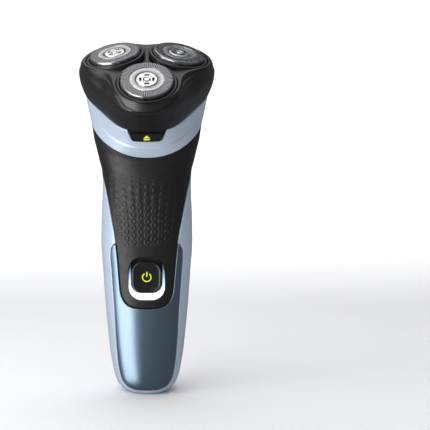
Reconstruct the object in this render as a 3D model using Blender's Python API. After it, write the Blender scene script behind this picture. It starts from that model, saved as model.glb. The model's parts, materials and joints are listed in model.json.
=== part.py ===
"""Three-headed rotary electric shaver with a hinged shaving unit and a pop-up trimmer.

+Z runs up the handle, the front with the power button faces -Y, and the origin is the
centre of the flat base that the shaver stands on. Helper functions take millimetres.
"""

import math

import bmesh
import bpy
import numpy as np
from mathutils import Matrix, Vector

MM = 0.001

# Walls and gaps
WALL = 1.9
GAP = 0.3

# Shaving head, in its own frame: local Z along the head's axis, local -Y to the front
HEAD_TILT = 30.0
HEAD_Y = -18.5
HEAD_Z = 147.7
COLLAR_TOP = -21.5
COLLAR_BOTTOM = -37.0
COVER_BOTTOM = -21.2
COVER_ROOF = -8.3
COVER_WALL = 1.7
HINGE_Y = 23.1
HINGE_Z = -21.2
HINGE_RADIUS = 1.5
HINGE_PIN_RADIUS = 0.7
HINGE_BORE_RADIUS = 1.0

# The three shaving heads
HEAD_NAMES = ("front", "right", "left")
HEAD_AZIMUTHS = (-90.0, 30.0, 150.0)
HEAD_CIRCLE = 16.4
OUTWARD_LEAN = 12.0
TILT_AXIS_Z = -2.5
GUARD_RADIUS = 11.25
RING_INNER = 11.6
RING_OUTER = 12.9
POCKET_RADIUS = 13.3
CAP_RADIUS = 4.6
CUTTER_RADIUS = 10.0
HUB_RADIUS = 4.3
SOCKET_RADIUS = 3.6
BLADES = 9

# Drive
MODULE = 0.64
CENTRAL_TEETH = 33
GEAR_TEETH = 15
SPINDLE_CIRCLE = MODULE * (CENTRAL_TEETH + GEAR_TEETH) / 2
GEAR_BOTTOM = -29.6
GEAR_TOP = -27.9
SPINDLE_TOP = -5.3
SPINDLE_TIP_RADIUS = 1.4
TOWER_TOP = -12.0
TOWER_RADIUS = 3.6
TOWER_BORE = 2.4
BULKHEAD_TOP = -21.2
BULKHEAD_BOTTOM = -22.6
GEAR_FLOOR_TOP = -31.0
GEAR_FLOOR_BOTTOM = -32.5
MOTOR_TOP = -33.0
MOTOR_LENGTH = 20.0
MOTOR_RADIUS = 8.5
SHAFT_RADIUS = 1.0

# Release button, in the head's frame
RELEASE_TOP_HALF = 8.1
RELEASE_BOTTOM_HALF = 6.1
RELEASE_HEIGHT = 5.4

# Power button and its light
BUTTON_X = 6.5
BUTTON_LOW = 46.5
BUTTON_HIGH = 60.2
BUTTON_FRONT = -18.2
BAY_X = 8.2
BAY_LOW = 43.1
BAY_HIGH = 62.5
BAY_CORNER = 6.0
BUTTON_CORNER = 4.2

# Inside the handle
BATTERY_RADIUS = 7.0
BATTERY_LOW = 20.0
BATTERY_HIGH = 70.0
BATTERY_Y = 4.0
BOARD_FRONT = -10.8
BOARD_BACK = -9.6
CHASSIS_FRONT = -9.3
CHASSIS_BACK = -7.9

# Charging socket in the base
SOCKET_CENTRE_Y = 4.5
SOCKET_X = 4.0
SOCKET_Y = 2.6
SOCKET_ROOF = 11.0
PIN_RADIUS = 0.6
PIN_SPACING = 2.0

# Pop-up trimmer on the back
TRIMMER_X = 9.0
TRIMMER_AXIS_Y = 16.1
TRIMMER_AXIS_Z = 82.0
TRIMMER_HEEL = 2.5
TRIMMER_FRONT = 13.6
TRIMMER_TOP = 97.5
TRIMMER_TEETH = 13

# Handle sections: station, centre y and z, tilt in degrees, reach to the front, side and
# back, and how far the outline has turned from the handle's oval to the head's triangle
SECTIONS = (
    (0.0, 0.0, 0.0, 0.0, 11.5, 8.4, 11.0, 0.0),
    (0.8, 0.0, 0.8, 0.0, 12.8, 10.0, 12.2, 0.0),
    (2.1, 0.0, 2.1, 0.0, 14.0, 11.8, 13.5, 0.0),
    (4.7, 0.0, 4.7, 0.0, 15.3, 13.6, 15.0, 0.0),
    (8.0, 0.0, 8.0, 0.0, 16.1, 14.75, 16.0, 0.0),
    (13.0, 0.0, 13.0, 0.0, 16.8, 15.75, 16.9, 0.0),
    (20.5, 0.0, 20.5, 0.0, 17.3, 16.85, 17.7, 0.0),
    (30.0, 0.0, 30.0, 0.0, 17.7, 17.8, 18.3, 0.0),
    (42.0, 0.0, 42.0, 0.0, 18.0, 18.85, 18.7, 0.0),
    (55.0, 0.0, 55.0, 0.0, 18.2, 19.7, 19.0, 0.0),
    (68.0, 0.0, 68.0, 0.0, 18.2, 20.55, 19.0, 0.0),
    (80.0, 0.0, 80.0, 0.0, 18.0, 20.35, 18.8, 0.0),
    (93.0, 0.2, 93.0, 0.0, 18.0, 19.85, 18.4, 0.0),
    (99.0, 0.6, 99.3, 7.0, 18.2, 20.1, 18.0, 0.0),
    (105.0, 0.7, 105.3, 15.0, 18.9, 21.4, 17.8, 0.0),
    (111.0, 0.4, 111.0, 23.0, 20.0, 22.75, 17.9, 0.03),
    (116.5, 0.0, 115.66, 30.0, 21.3, 24.1, 18.4, 0.1),
    (120.5, -2.0, 119.12, 30.0, 22.0, 25.5, 19.0, 0.35),
    (125.0, -4.25, 123.02, 30.0, 22.85, 27.2, 19.8, 0.7),
    (132.0, -7.75, 129.08, 30.0, 23.7, 28.8, 21.0, 1.0),
)
COLLAR_START = 116.5
COLLAR_END = 132.0
# The collar's lower edge is lifted along the handle, most of all at the sides.
RISE_FRONT = 1.0
RISE_SIDE = 4.9
RISE_PEAK = 72.0
RISE_LOW = 99.0
RISE_HIGH = 131.0
OVAL_POWER = 2.4
HEAD_POWER = 16.0
FRONT_POWER = 7.0
FLANK_DROP = 2.8
CORNER_RISE = 1.4

# Half-widths of the grip's and the panel's edges, as (station, half-width)
GRIP_EDGE = (
    (39.6, 1.8), (39.9, 4.6), (40.6, 7.2), (42.0, 9.2), (43.5, 10.3), (46.1, 11.4),
    (52.0, 12.05), (60.5, 12.75), (69.8, 13.8), (78.6, 15.45), (87.4, 17.25), (92.0, 18.3),
)
PANEL_EDGE = (
    (2.4, 5.0), (2.9, 7.0), (3.8, 8.8), (5.2, 10.2), (7.6, 11.4), (12.6, 12.5),
    (20.7, 13.3), (40.4, 14.4), (55.0, 15.4), (62.0, 15.9), (64.8, 15.9), (66.4, 15.3),
    (67.6, 14.5), (69.0, 12.0),
)
# Where the grip wraps round the neck, as (station, angle from the front)
GRIP_WRAP = ((92.0, 64.5), (96.0, 74.0), (100.0, 85.0), (105.0, 97.0), (110.0, 107.0), (116.5, 116.0))

# Outer rings of the head cover: height, then reach to front, side, corner, flank and back
COVER_RINGS = (
    (COVER_BOTTOM, 24.1, 29.1, 30.5, 20.9, 22.1),
    (-17.0, 25.8, 30.7, 31.9, 22.2, 22.7),
    (-13.0, 27.5, 31.7, 32.7, 23.0, 23.0),
    (-9.5, 29.5, 31.5, 32.7, 23.6, 23.1),
    (-6.8, 30.7, 30.7, 32.2, 23.9, 23.0),
    (-5.2, 30.7, 29.9, 31.6, 23.6, 22.8),
    (-4.3, 30.2, 29.1, 30.9, 23.0, 22.4),
)
COVER_DOME = ((0.88, -3.8), (0.6, -2.6), (0.3, -1.7))

BLUE = ((0.50, 0.60, 0.74), 0.38, 0.0)
PANEL_BLUE = ((0.33, 0.42, 0.55), 0.18, 0.6)
BLACK = ((0.018, 0.018, 0.02), 0.5, 0.0)
DARK = ((0.05, 0.05, 0.055), 0.6, 0.0)
STEEL = ((0.62, 0.62, 0.64), 0.25, 1.0)
WHITE = ((0.85, 0.87, 0.92), 0.3, 0.0)
BRASS = ((0.75, 0.58, 0.28), 0.3, 1.0)
GREEN = ((0.03, 0.16, 0.07), 0.5, 0.0)
NYLON = ((0.8, 0.78, 0.7), 0.5, 0.0)


def clear_scene():
    for obj in list(bpy.data.objects):
        bpy.data.objects.remove(obj, do_unlink=True)


def material(name, look):
    colour, roughness, metallic = look
    made = bpy.data.materials.new(name)
    made.use_nodes = True
    shader = made.node_tree.nodes["Principled BSDF"]
    shader.inputs["Base Color"].default_value = (*colour, 1.0)
    shader.inputs["Roughness"].default_value = roughness
    shader.inputs["Metallic"].default_value = metallic
    return made


def frame_empty(name, location, rotation=(0, 0, 0), parent=None):
    empty = bpy.data.objects.new(name, None)
    bpy.context.scene.collection.objects.link(empty)
    empty.parent = parent
    empty.location = [v * MM for v in location]
    empty.rotation_euler = [math.radians(v) for v in rotation]
    return empty


def finish(name, mesh_data, look, parent=None, location=(0, 0, 0)):
    """An object from a bmesh in millimetres about its own origin."""
    bmesh.ops.recalc_face_normals(mesh_data, faces=mesh_data.faces)
    bmesh.ops.scale(mesh_data, vec=(MM, MM, MM), verts=mesh_data.verts)
    mesh = bpy.data.meshes.new(name)
    mesh_data.to_mesh(mesh)
    mesh_data.free()
    mesh.shade_smooth()
    mesh.set_sharp_from_angle(angle=math.radians(35))
    obj = bpy.data.objects.new(name, mesh)
    bpy.context.scene.collection.objects.link(obj)
    obj.parent = parent
    obj.location = [v * MM for v in location]
    if look is not None:
        mesh.materials.append(material(name, look))
    return obj


def combine(target, other, operation):
    """Boolean of target with a helper object, which stays hidden."""
    other.hide_render = True
    other.display_type = "WIRE"
    modifier = target.modifiers.new(other.name, "BOOLEAN")
    modifier.operation = operation
    modifier.object = other
    modifier.solver = "EXACT"


def cut(target, *cutters):
    for cutter in cutters:
        combine(target, cutter, "DIFFERENCE")


def join(target, *others):
    for other in others:
        combine(target, other, "UNION")


def ring_stack(rings, closed_ends=True):
    """A bmesh skinned over closed rings of equal point counts."""
    made = bmesh.new()
    rows = [[made.verts.new(point) for point in ring] for ring in rings]
    for low, high in zip(rows, rows[1:]):
        count = len(low)
        for j in range(count):
            k = (j + 1) % count
            made.faces.new((low[j], low[k], high[k], high[j]))
    if closed_ends:
        made.faces.new(rows[0])
        made.faces.new(rows[-1])
    return made


def prism(outline, low, high, axis="Z"):
    """A bmesh that extrudes a flat outline between two levels along an axis."""
    def placed(a, b, level):
        if axis == "Z":
            return (a, b, level)
        if axis == "Y":
            return (a, level, b)
        return (level, a, b)
    return ring_stack([[placed(a, b, level) for a, b in outline] for level in (low, high)])


def box(x, y, z):
    return prism([(x[0], y[0]), (x[1], y[0]), (x[1], y[1]), (x[0], y[1])], *z)


def circle(radius, steps, centre=(0, 0)):
    turns = [2 * math.pi * i / steps for i in range(steps)]
    return [(centre[0] + radius * math.cos(a), centre[1] + radius * math.sin(a)) for a in turns]


def rounded_box(half_x, low, high, corner, steps=4):
    """Outline of a rectangle with round corners, from its lower right corner round."""
    points = []
    centres = (
        (half_x - corner, low + corner, -90),
        (half_x - corner, high - corner, 0),
        (corner - half_x, high - corner, 90),
        (corner - half_x, low + corner, 180),
    )
    for cx, cz, start in centres:
        for i in range(steps + 1):
            angle = math.radians(start + 90 * i / steps)
            points.append((cx + corner * math.cos(angle), cz + corner * math.sin(angle)))
    return points


def turned(profile, steps):
    """A bmesh that turns a closed (radius, height) profile about Z."""
    made = bmesh.new()
    loop = [made.verts.new((radius, 0, height)) for radius, height in profile]
    edges = [made.edges.new((loop[i - 1], loop[i])) for i in range(len(loop))]
    bmesh.ops.spin(
        made, geom=edges, cent=(0, 0, 0), axis=(0, 0, 1), angle=2 * math.pi,
        steps=steps, use_merge=True,
    )
    bmesh.ops.remove_doubles(made, verts=made.verts, dist=1e-4)
    return made


def moved(mesh_data, offset=(0, 0, 0), turn=0.0, axis="Z"):
    rotation = Matrix.Rotation(math.radians(turn), 4, axis)
    bmesh.ops.transform(mesh_data, matrix=Matrix.Translation(offset) @ rotation, verts=mesh_data.verts)
    return mesh_data


def merged(parts):
    """One bmesh that holds several separate closed shapes."""
    whole = bmesh.new()
    for part in parts:
        mesh = bpy.data.meshes.new("merge")
        part.to_mesh(mesh)
        part.free()
        whole.from_mesh(mesh)
        bpy.data.meshes.remove(mesh)
    return whole


def smooth_value(knots, position):
    """Monotone cubic through (position, value) knots."""
    xs = np.array([knot[0] for knot in knots])
    ys = np.array([knot[1] for knot in knots])
    steps = np.diff(xs)
    slopes = np.diff(ys) / steps
    tangents = np.zeros(len(xs))
    tangents[0] = slopes[0]
    tangents[-1] = slopes[-1]
    for i in range(1, len(xs) - 1):
        if slopes[i - 1] * slopes[i] > 0:
            before = 2 * steps[i] + steps[i - 1]
            after = steps[i] + 2 * steps[i - 1]
            tangents[i] = (before + after) / (before / slopes[i - 1] + after / slopes[i])
    i = int(np.clip(np.searchsorted(xs, position) - 1, 0, len(xs) - 2))
    t = (np.clip(position, xs[0], xs[-1]) - xs[i]) / steps[i]
    return float(
        (1 + 2 * t) * (1 - t) ** 2 * ys[i]
        + t * (1 - t) ** 2 * steps[i] * tangents[i]
        + t * t * (3 - 2 * t) * ys[i + 1]
        + t * t * (t - 1) * steps[i] * tangents[i + 1]
    )


def wall_pull(angle, walls, power):
    """One over the reach, at an angle from the front, of a rounded outline inside (angle, distance) walls."""
    total = 0.0
    for direction, distance in walls:
        facing = max(0.0, math.cos(angle - math.radians(direction)))
        total += (facing / distance) ** power
    return total ** (1 / power)


def oval_radius(angle, front, side, back):
    walls = ((0, front), (90, side), (-90, side), (180, back))
    return 1 / wall_pull(angle, walls, OVAL_POWER)


def head_radius(angle, front, side, corner, flank, back):
    """Three-lobed outline, rounder at the front than at its two rear corners."""
    nose = wall_pull(angle, ((0, front), (60, flank), (-60, flank)), FRONT_POWER)
    rear_walls = ((90, side), (-90, side), (120, corner), (-120, corner), (180, back))
    rear = wall_pull(angle, rear_walls, HEAD_POWER)
    return (nose ** HEAD_POWER + rear ** HEAD_POWER) ** (-1 / HEAD_POWER)


def section_at(station):
    columns = range(1, len(SECTIONS[0]))
    return [smooth_value([(row[0], row[c]) for row in SECTIONS], station) for c in columns]


def body_radius(section, angle):
    front, side, back, lobe = section[3:]
    oval = oval_radius(angle, front, side, back)
    if lobe <= 0:
        return oval
    corner = side + CORNER_RISE
    flank = front - FLANK_DROP
    return (1 - lobe) * oval + lobe * head_radius(angle, front, side, corner, flank, back)


def inset_point(radius_of, angle, inset):
    """Point of an outline in its own plane, moved inwards along the outline's normal."""
    step = 1e-4
    radius = radius_of(angle)
    slope = (radius_of(angle + step) - radius_of(angle - step)) / (2 * step)
    ray = np.array([math.sin(angle), -math.cos(angle)])
    along = np.array([math.cos(angle), math.sin(angle)])
    normal = radius * ray - slope * along
    return radius * ray - inset * normal / np.linalg.norm(normal)


def edge_rise(angle):
    """How far up the handle the collar's lower edge is lifted at an angle from the front."""
    turn = abs(math.degrees(angle)) % 360
    turn = min(turn, 360 - turn)
    if turn < RISE_PEAK:
        share = turn / RISE_PEAK
    else:
        share = (180 - turn) / (180 - RISE_PEAK)
    return RISE_FRONT + (RISE_SIDE - RISE_FRONT) * math.sin(math.pi / 2 * share) ** 2


def lifted(station, angle):
    """Station after the lift, which fades out above and below the collar's lower edge."""
    if station < COLLAR_START:
        share = (station - RISE_LOW) / (COLLAR_START - RISE_LOW)
    else:
        share = (RISE_HIGH - station) / (RISE_HIGH - COLLAR_START)
    share = min(max(share, 0.0), 1.0)
    return station + edge_rise(angle) * share * share * (3 - 2 * share)


def body_point(station, angle, inset=0.0):
    section = section_at(station)
    x, y = inset_point(lambda a: body_radius(section, a), angle, inset)
    tilt = math.radians(section[2])
    return (x, section[0] + y * math.cos(tilt), section[1] + y * math.sin(tilt))


def body_ring(station, inset, steps):
    return [body_point(station, 2 * math.pi * i / steps, inset) for i in range(steps)]


def angle_at_x(station, x):
    """Angle from the front at which the handle's outline is x wide."""
    section = section_at(station)
    low, high = 0.0, math.radians(89)
    for _ in range(40):
        middle = (low + high) / 2
        if body_radius(section, middle) * math.sin(middle) < x:
            low = middle
        else:
            high = middle
    return low


def grip_angle(station, margin=0.0):
    """Angle of the grip's edge, moved outwards by a margin in millimetres."""
    if station >= GRIP_WRAP[0][0]:
        reach = section_at(station)[4]
        return math.radians(smooth_value(GRIP_WRAP, station)) + margin / reach
    return angle_at_x(station, smooth_value(GRIP_EDGE, station) + margin)


def shell_angle(station):
    """Angle of the rear shell's front edge, outside both the panel and the grip."""
    grip = grip_angle(station, GAP)
    if station > PANEL_EDGE[-1][0]:
        return grip
    panel = angle_at_x(station, smooth_value(PANEL_EDGE, station) + GAP)
    return max(grip, panel) if station > GRIP_EDGE[0][0] else panel


def skin(stations, angles, present, wall=WALL, wrap=False):
    """A wall of even thickness over the cells of a station and angle grid that are present."""
    made = bmesh.new()
    verts = {}

    def vert(layer, i, j):
        key = (layer, i, j)
        if key not in verts:
            station = lifted(stations[i], angles[i][j])
            verts[key] = made.verts.new(body_point(station, angles[i][j], layer * wall))
        return verts[key]

    columns = len(angles[0]) if wrap else len(angles[0]) - 1

    def is_present(i, j):
        if wrap:
            j %= columns
        inside = 0 <= i < len(stations) - 1 and 0 <= j < columns
        return inside and present(i, j)

    for i in range(len(stations) - 1):
        for j in range(columns):
            if not is_present(i, j):
                continue
            k = (j + 1) % len(angles[0])
            corners = ((i, j), (i, k), (i + 1, k), (i + 1, j))
            made.faces.new([vert(0, *corner) for corner in corners])
            made.faces.new([vert(1, *corner) for corner in reversed(corners)])
            beside = ((i - 1, j), (i, j + 1), (i + 1, j), (i, j - 1))
            for side, neighbour in enumerate(beside):
                if not is_present(*neighbour):
                    a, b = corners[side], corners[(side + 1) % 4]
                    made.faces.new((vert(0, *a), vert(1, *a), vert(1, *b), vert(0, *b)))
    return made


def rear_shell():
    """Back and sides of the handle, closed round the base below the front panel."""
    ring_top = 2.1
    stations = [0.0, 0.8, ring_top, 3.4, 5.2, 7.6, 12.6, 20.7, 30.0, 42.0, 52.0, 58.0,
                62.0, 64.8, 66.4, 67.6, 70.0, 76.0, 82.0, 88.0, 92.0, 96.0, 100.0, 105.0, 110.0,
                COLLAR_START - GAP]
    around, across = 18, 3
    angles = []
    for station in stations:
        edge = shell_angle(max(station, PANEL_EDGE[0][0]))
        row = [edge + (2 * math.pi - 2 * edge) * j / around for j in range(around + 1)]
        row += [-edge + 2 * edge * j / across for j in range(1, across)]
        angles.append(row)
    open_from = stations.index(ring_top)
    shell = finish(
        "rear_shell",
        skin(stations, angles, lambda i, j: j < around or i < open_from, wrap=True),
        BLUE,
    )
    window = finish(
        "rear_shell_trimmer_window",
        box((-TRIMMER_X - 0.4, TRIMMER_X + 0.4), (11, 24), (TRIMMER_AXIS_Z - TRIMMER_HEEL - 0.5, 102.2)),
        None,
    )
    slot = finish("rear_shell_slider_slot", box((-2.0, 2.0), (11, 24), (62.0, 75.0)), None)
    cut(shell, window, slot)
    return shell


def neck_collar(head):
    """Coloured collar round the neck, notched at the front for the release button."""
    stations = [COLLAR_START, 118.5, 120.5, 125.0, 128.5, COLLAR_END]
    steps = 44
    angles = [[2 * math.pi * j / steps for j in range(steps)] for _ in stations]
    collar = finish("neck_collar", skin(stations, angles, lambda i, j: True, wrap=True), BLUE)
    notch = finish(
        "neck_collar_notch",
        prism(release_outline(GAP, COLLAR_TOP + 2), -30, -17, "Y"),
        None, head,
    )
    lug = finish(
        "neck_collar_lug",
        merged([
            prism(circle(HINGE_RADIUS, 16, (HINGE_Y, HINGE_Z)), -3.4, 3.4, "X"),
        ]),
        None, head,
    )
    web = finish(
        "neck_collar_lug_web",
        box((-3.4, 3.4), (HINGE_Y - 3.4, HINGE_Y), (HINGE_Z - 4.0, HINGE_Z - 0.9)),
        None, head,
    )
    bore = finish(
        "neck_collar_lug_bore",
        prism(circle(HINGE_BORE_RADIUS, 12, (HINGE_Y, HINGE_Z)), -5, 5, "X"),
        None, head,
    )
    join(collar, lug, web)
    cut(collar, notch, bore)
    return collar


def release_outline(margin, top):
    """Trapezoid of the release button in the head's x and z, grown by a margin."""
    bottom = COLLAR_TOP - RELEASE_HEIGHT - margin
    low_half = RELEASE_BOTTOM_HALF + margin
    slope = (RELEASE_TOP_HALF - RELEASE_BOTTOM_HALF) / RELEASE_HEIGHT
    high_half = low_half + slope * (top - bottom)
    corner = 0.8
    return [
        (-low_half + corner, bottom), (low_half - corner, bottom),
        (low_half + slope * corner, bottom + corner), (high_half, top),
        (-high_half, top), (-low_half - slope * corner, bottom + corner),
    ]


def front_panel():
    """Glossy panel round and below the grip's lower end."""
    bottom_top = GRIP_EDGE[0][0] - GAP
    stations = [2.4, 2.9, 3.8, 5.2, 7.6, 12.6, 20.7, 30.0, 36.0, bottom_top, 39.7, 40.4,
                41.8, 43.4, 46.1, 52.0, 58.0, 62.0, 64.8, 66.4, 67.6]
    centre, leg = 6, 2
    angles = []
    for station in stations:
        outer = angle_at_x(station, smooth_value(PANEL_EDGE, station))
        inner_x = smooth_value(GRIP_EDGE, station + GAP) + GAP
        inner = min(angle_at_x(station, inner_x), 0.9 * outer) if station < 39 else angle_at_x(station, inner_x)
        row = [-outer + (outer - inner) * j / leg for j in range(leg)]
        row += [-inner + 2 * inner * j / centre for j in range(centre + 1)]
        row += [inner + (outer - inner) * j / leg for j in range(1, leg + 1)]
        angles.append(row)
    closed_below = stations.index(bottom_top)
    return finish(
        "front_panel",
        skin(
            stations, angles,
            lambda i, j: i < closed_below or j < leg or j >= leg + centre,
        ),
        PANEL_BLUE,
    )


def front_grip():
    """Soft black grip from the button up to the collar, wrapping round the neck."""
    stations = [39.6, 39.9, 40.6, 42.0, 43.5, 46.1, 52.0, 58.0, 64.0, 70.0, 76.0, 82.0, 88.0,
                92.0, 96.0, 100.0, 105.0, 110.0, COLLAR_START - GAP]
    columns = 24
    angles = []
    for station in stations:
        edge = grip_angle(station)
        angles.append([-edge + 2 * edge * j / columns for j in range(columns + 1)])
    grip = finish("front_grip", skin(stations, angles, lambda i, j: True), BLACK)
    bay = finish("front_grip_button_bay", prism(rounded_box(BAY_X, BAY_LOW, BAY_HIGH, BAY_CORNER, 6), -22, -12, "Y"), None)
    cut(grip, bay)
    return grip


def power_button():
    """Rounded square button with a stem towards the switch; it presses in along +Y."""
    centre_z = (BUTTON_LOW + BUTTON_HIGH) / 2
    half = (BUTTON_HIGH - BUTTON_LOW) / 2
    rings = []
    for grow, level in ((0.0, 3.0), (0.0, 0.5), (-0.3, 0.12), (-0.8, 0.0)):
        outline = rounded_box(BUTTON_X + grow, -half - grow, half + grow, BUTTON_CORNER + grow, 6)
        rings.append([(x, level, z) for x, z in outline])
    button = finish("power_button", ring_stack(rings), BLACK, location=(0, BUTTON_FRONT, centre_z))
    stem = finish(
        "power_button_stem",
        prism(circle(1.5, 12), 2.7, 4.9, "Y"),
        None, location=(0, BUTTON_FRONT, centre_z),
    )
    join(button, stem)
    return button


def light_ring():
    """White light guide under the button, a crescent that thins out up both sides."""
    outer_half, low, high, corner = BAY_X - 0.25, BAY_LOW + 0.25, 59.0, BAY_CORNER - 0.2
    inner_half, inner_low, inner_corner = BUTTON_X + 0.4, BUTTON_LOW - 0.4, BUTTON_CORNER + 0.2
    steps = 7
    points = []
    for i in range(steps + 1):
        angle = math.radians(-90 + 90 * i / steps)
        points.append((outer_half - corner + corner * math.cos(angle), low + corner + corner * math.sin(angle)))
    points.append((outer_half, high - 5.0))
    points.append((inner_half + 0.4, high))
    points.append((inner_half, high))
    for i in range(steps + 1):
        angle = math.radians(-90 * i / steps)
        points.append((
            inner_half - inner_corner + inner_corner * math.cos(angle),
            inner_low + inner_corner + inner_corner * math.sin(angle),
        ))
    mirrored = [(-x, z) for x, z in reversed(points)]
    return finish("light_ring", prism(points + mirrored, -17.25, -14.6, "Y"), WHITE)


def button_seal():
    """Flat rubber membrane behind the button, with a hole for the stem."""
    seal = finish(
        "button_seal",
        prism(rounded_box(8.6, 42.6, 63.0, 3.0), -14.2, -13.6, "Y"),
        DARK,
    )
    centre_z = (BUTTON_LOW + BUTTON_HIGH) / 2
    hole = finish("button_seal_hole", prism(circle(1.9, 12, (0, centre_z)), -16, -12, "Y"), None)
    cut(seal, hole)
    return seal


def power_switch():
    """Push switch on the circuit board."""
    centre_z = (BUTTON_LOW + BUTTON_HIGH) / 2
    return finish(
        "power_switch",
        box((-3, 3), (BOARD_FRONT - 1.2, BOARD_FRONT - GAP), (centre_z - 3, centre_z + 3)),
        DARK,
    )


def status_led():
    return finish("status_led", box((-1.5, 1.5), (BOARD_FRONT - 1.3, BOARD_FRONT - GAP), (43.6, 45.4)), WHITE)


def circuit_board():
    return finish(
        "circuit_board",
        prism(rounded_box(8.5, 18.0, 80.0, 1.5, 2), BOARD_FRONT, BOARD_BACK, "Y"),
        GREEN,
    )


def chassis():
    """Upright inner frame with two cradles for the battery and three screw holes."""
    frame = finish(
        "chassis",
        prism(rounded_box(11.0, 9.5, 93.0, 3.0, 2), CHASSIS_FRONT, CHASSIS_BACK, "Y"),
        DARK,
    )
    cradles = []
    for low in (24.0, 62.0):
        cradle = finish("chassis_cradle", box((-9.5, 9.5), (CHASSIS_BACK - 0.7, 3.5), (low, low + 2.5)), None)
        cradles.append(cradle)
    join(frame, *cradles)
    hollow = finish(
        "chassis_battery_hollow",
        prism(circle(BATTERY_RADIUS + GAP, 24, (0, BATTERY_Y)), BATTERY_LOW, BATTERY_HIGH),
        None,
    )
    cut(frame, hollow)
    for x, z in screw_places():
        cut(frame, finish("chassis_screw_hole", prism(circle(1.3, 10, (x, z)), -14, -4, "Y"), None))
    return frame


def screw_places():
    return ((0.0, 15.5), (-9.0, 86.0), (9.0, 86.0))


def chassis_screws():
    for number, (x, z) in enumerate(screw_places(), 1):
        profile = [(0, -1.6), (2.0, -1.6), (2.0, -0.4), (1.0, -0.4), (1.0, 5.0), (0, 5.6)]
        made = moved(turned(profile, 12), turn=-90, axis="X")
        finish("chassis_screw_%d" % number, made, STEEL, location=(x, CHASSIS_FRONT, z))


def battery():
    """Rechargeable cell with its raised contact."""
    profile = [
        (0, BATTERY_LOW), (BATTERY_RADIUS, BATTERY_LOW), (BATTERY_RADIUS, BATTERY_HIGH - 1.2),
        (2.6, BATTERY_HIGH - 1.2), (2.6, BATTERY_HIGH), (0, BATTERY_HIGH),
    ]
    return finish("battery", moved(turned(profile, 24), (0, BATTERY_Y, 0)), DARK)


def socket_span(half):
    return (SOCKET_CENTRE_Y - half, SOCKET_CENTRE_Y + half)


def base_cap():
    """Plate that closes the base round the charging socket."""
    rings = [body_ring(level, WALL + GAP, 28) for level in (0.0, 2.0)]
    cap = finish("base_cap", ring_stack(rings), DARK)
    hole = finish(
        "base_cap_hole",
        box((-SOCKET_X - 0.2, SOCKET_X + 0.2), socket_span(SOCKET_Y + 0.2), (-1, 4)),
        None,
    )
    cut(cap, hole)
    return cap


def charging_socket():
    """Socket block above the base cap, open downwards for the charging plug."""
    socket = finish("charging_socket", box((-5.6, 5.6), socket_span(4.2), (2.3, SOCKET_ROOF + 1.5)), DARK)
    cavity = finish(
        "charging_socket_cavity",
        box((-SOCKET_X, SOCKET_X), socket_span(SOCKET_Y), (1, SOCKET_ROOF)),
        None,
    )
    cut(socket, cavity)
    for x in (-PIN_SPACING, PIN_SPACING):
        hole = prism(circle(PIN_RADIUS + GAP, 10, (x, SOCKET_CENTRE_Y)), 8, 16)
        cut(socket, finish("charging_socket_pin_hole", hole, None))
    return socket


def socket_pins():
    for side, x in (("left", -PIN_SPACING), ("right", PIN_SPACING)):
        profile = [(0, 5.4), (0.35, 5.4), (PIN_RADIUS, 5.9), (PIN_RADIUS, 14.5), (0, 14.5)]
        finish("socket_pin_" + side, moved(turned(profile, 10), (x, SOCKET_CENTRE_Y, 0)), BRASS)


def motor(head):
    """Motor can under the gear floor, in line with the head's axis."""
    low = MOTOR_TOP - MOTOR_LENGTH
    profile = [
        (0, low), (2.6, low), (2.6, low + 0.8), (MOTOR_RADIUS - 0.6, low + 0.8), (MOTOR_RADIUS, low + 1.4),
        (MOTOR_RADIUS, MOTOR_TOP), (SHAFT_RADIUS + GAP, MOTOR_TOP), (SHAFT_RADIUS + GAP, MOTOR_TOP - 3.5),
        (0, MOTOR_TOP - 3.5),
    ]
    return finish("motor", turned(profile, 28), STEEL, head)


def gear_outline(teeth, radius, phase):
    """Spur gear outline with slightly thin teeth, which leave the train some backlash."""
    points = []
    pitch = 2 * math.pi / teeth
    for i in range(teeth):
        middle = phase + i * pitch
        for share, level in ((-0.27, -0.95), (-0.12, 0.7), (0.12, 0.7), (0.27, -0.95)):
            angle = middle + share * pitch
            reach = radius + level * MODULE
            points.append((reach * math.cos(angle), reach * math.sin(angle)))
    return points


def central_gear(head):
    """Gear on the motor's shaft that drives all three head gears."""
    radius = MODULE * CENTRAL_TEETH / 2
    spin = frame_empty("drive_axis", (0, 0, GEAR_BOTTOM), parent=head)
    thickness = GEAR_TOP - GEAR_BOTTOM
    phase = math.radians(HEAD_AZIMUTHS[0])
    gear = finish("central_gear", prism(gear_outline(CENTRAL_TEETH, radius, phase), 0, thickness), NYLON, spin)
    boss = finish("central_gear_boss", prism(circle(2.6, 16), -0.9, thickness + 0.5), None, spin)
    bore = finish("central_gear_bore", prism(circle(SHAFT_RADIUS + GAP, 12), -3, thickness + 3), None, spin)
    join(gear, boss)
    cut(gear, bore)
    shaft_low = MOTOR_TOP - 3.2 - GEAR_BOTTOM
    finish("motor_shaft", prism(circle(SHAFT_RADIUS, 12), shaft_low, thickness + 1.2), STEEL, spin)


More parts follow.
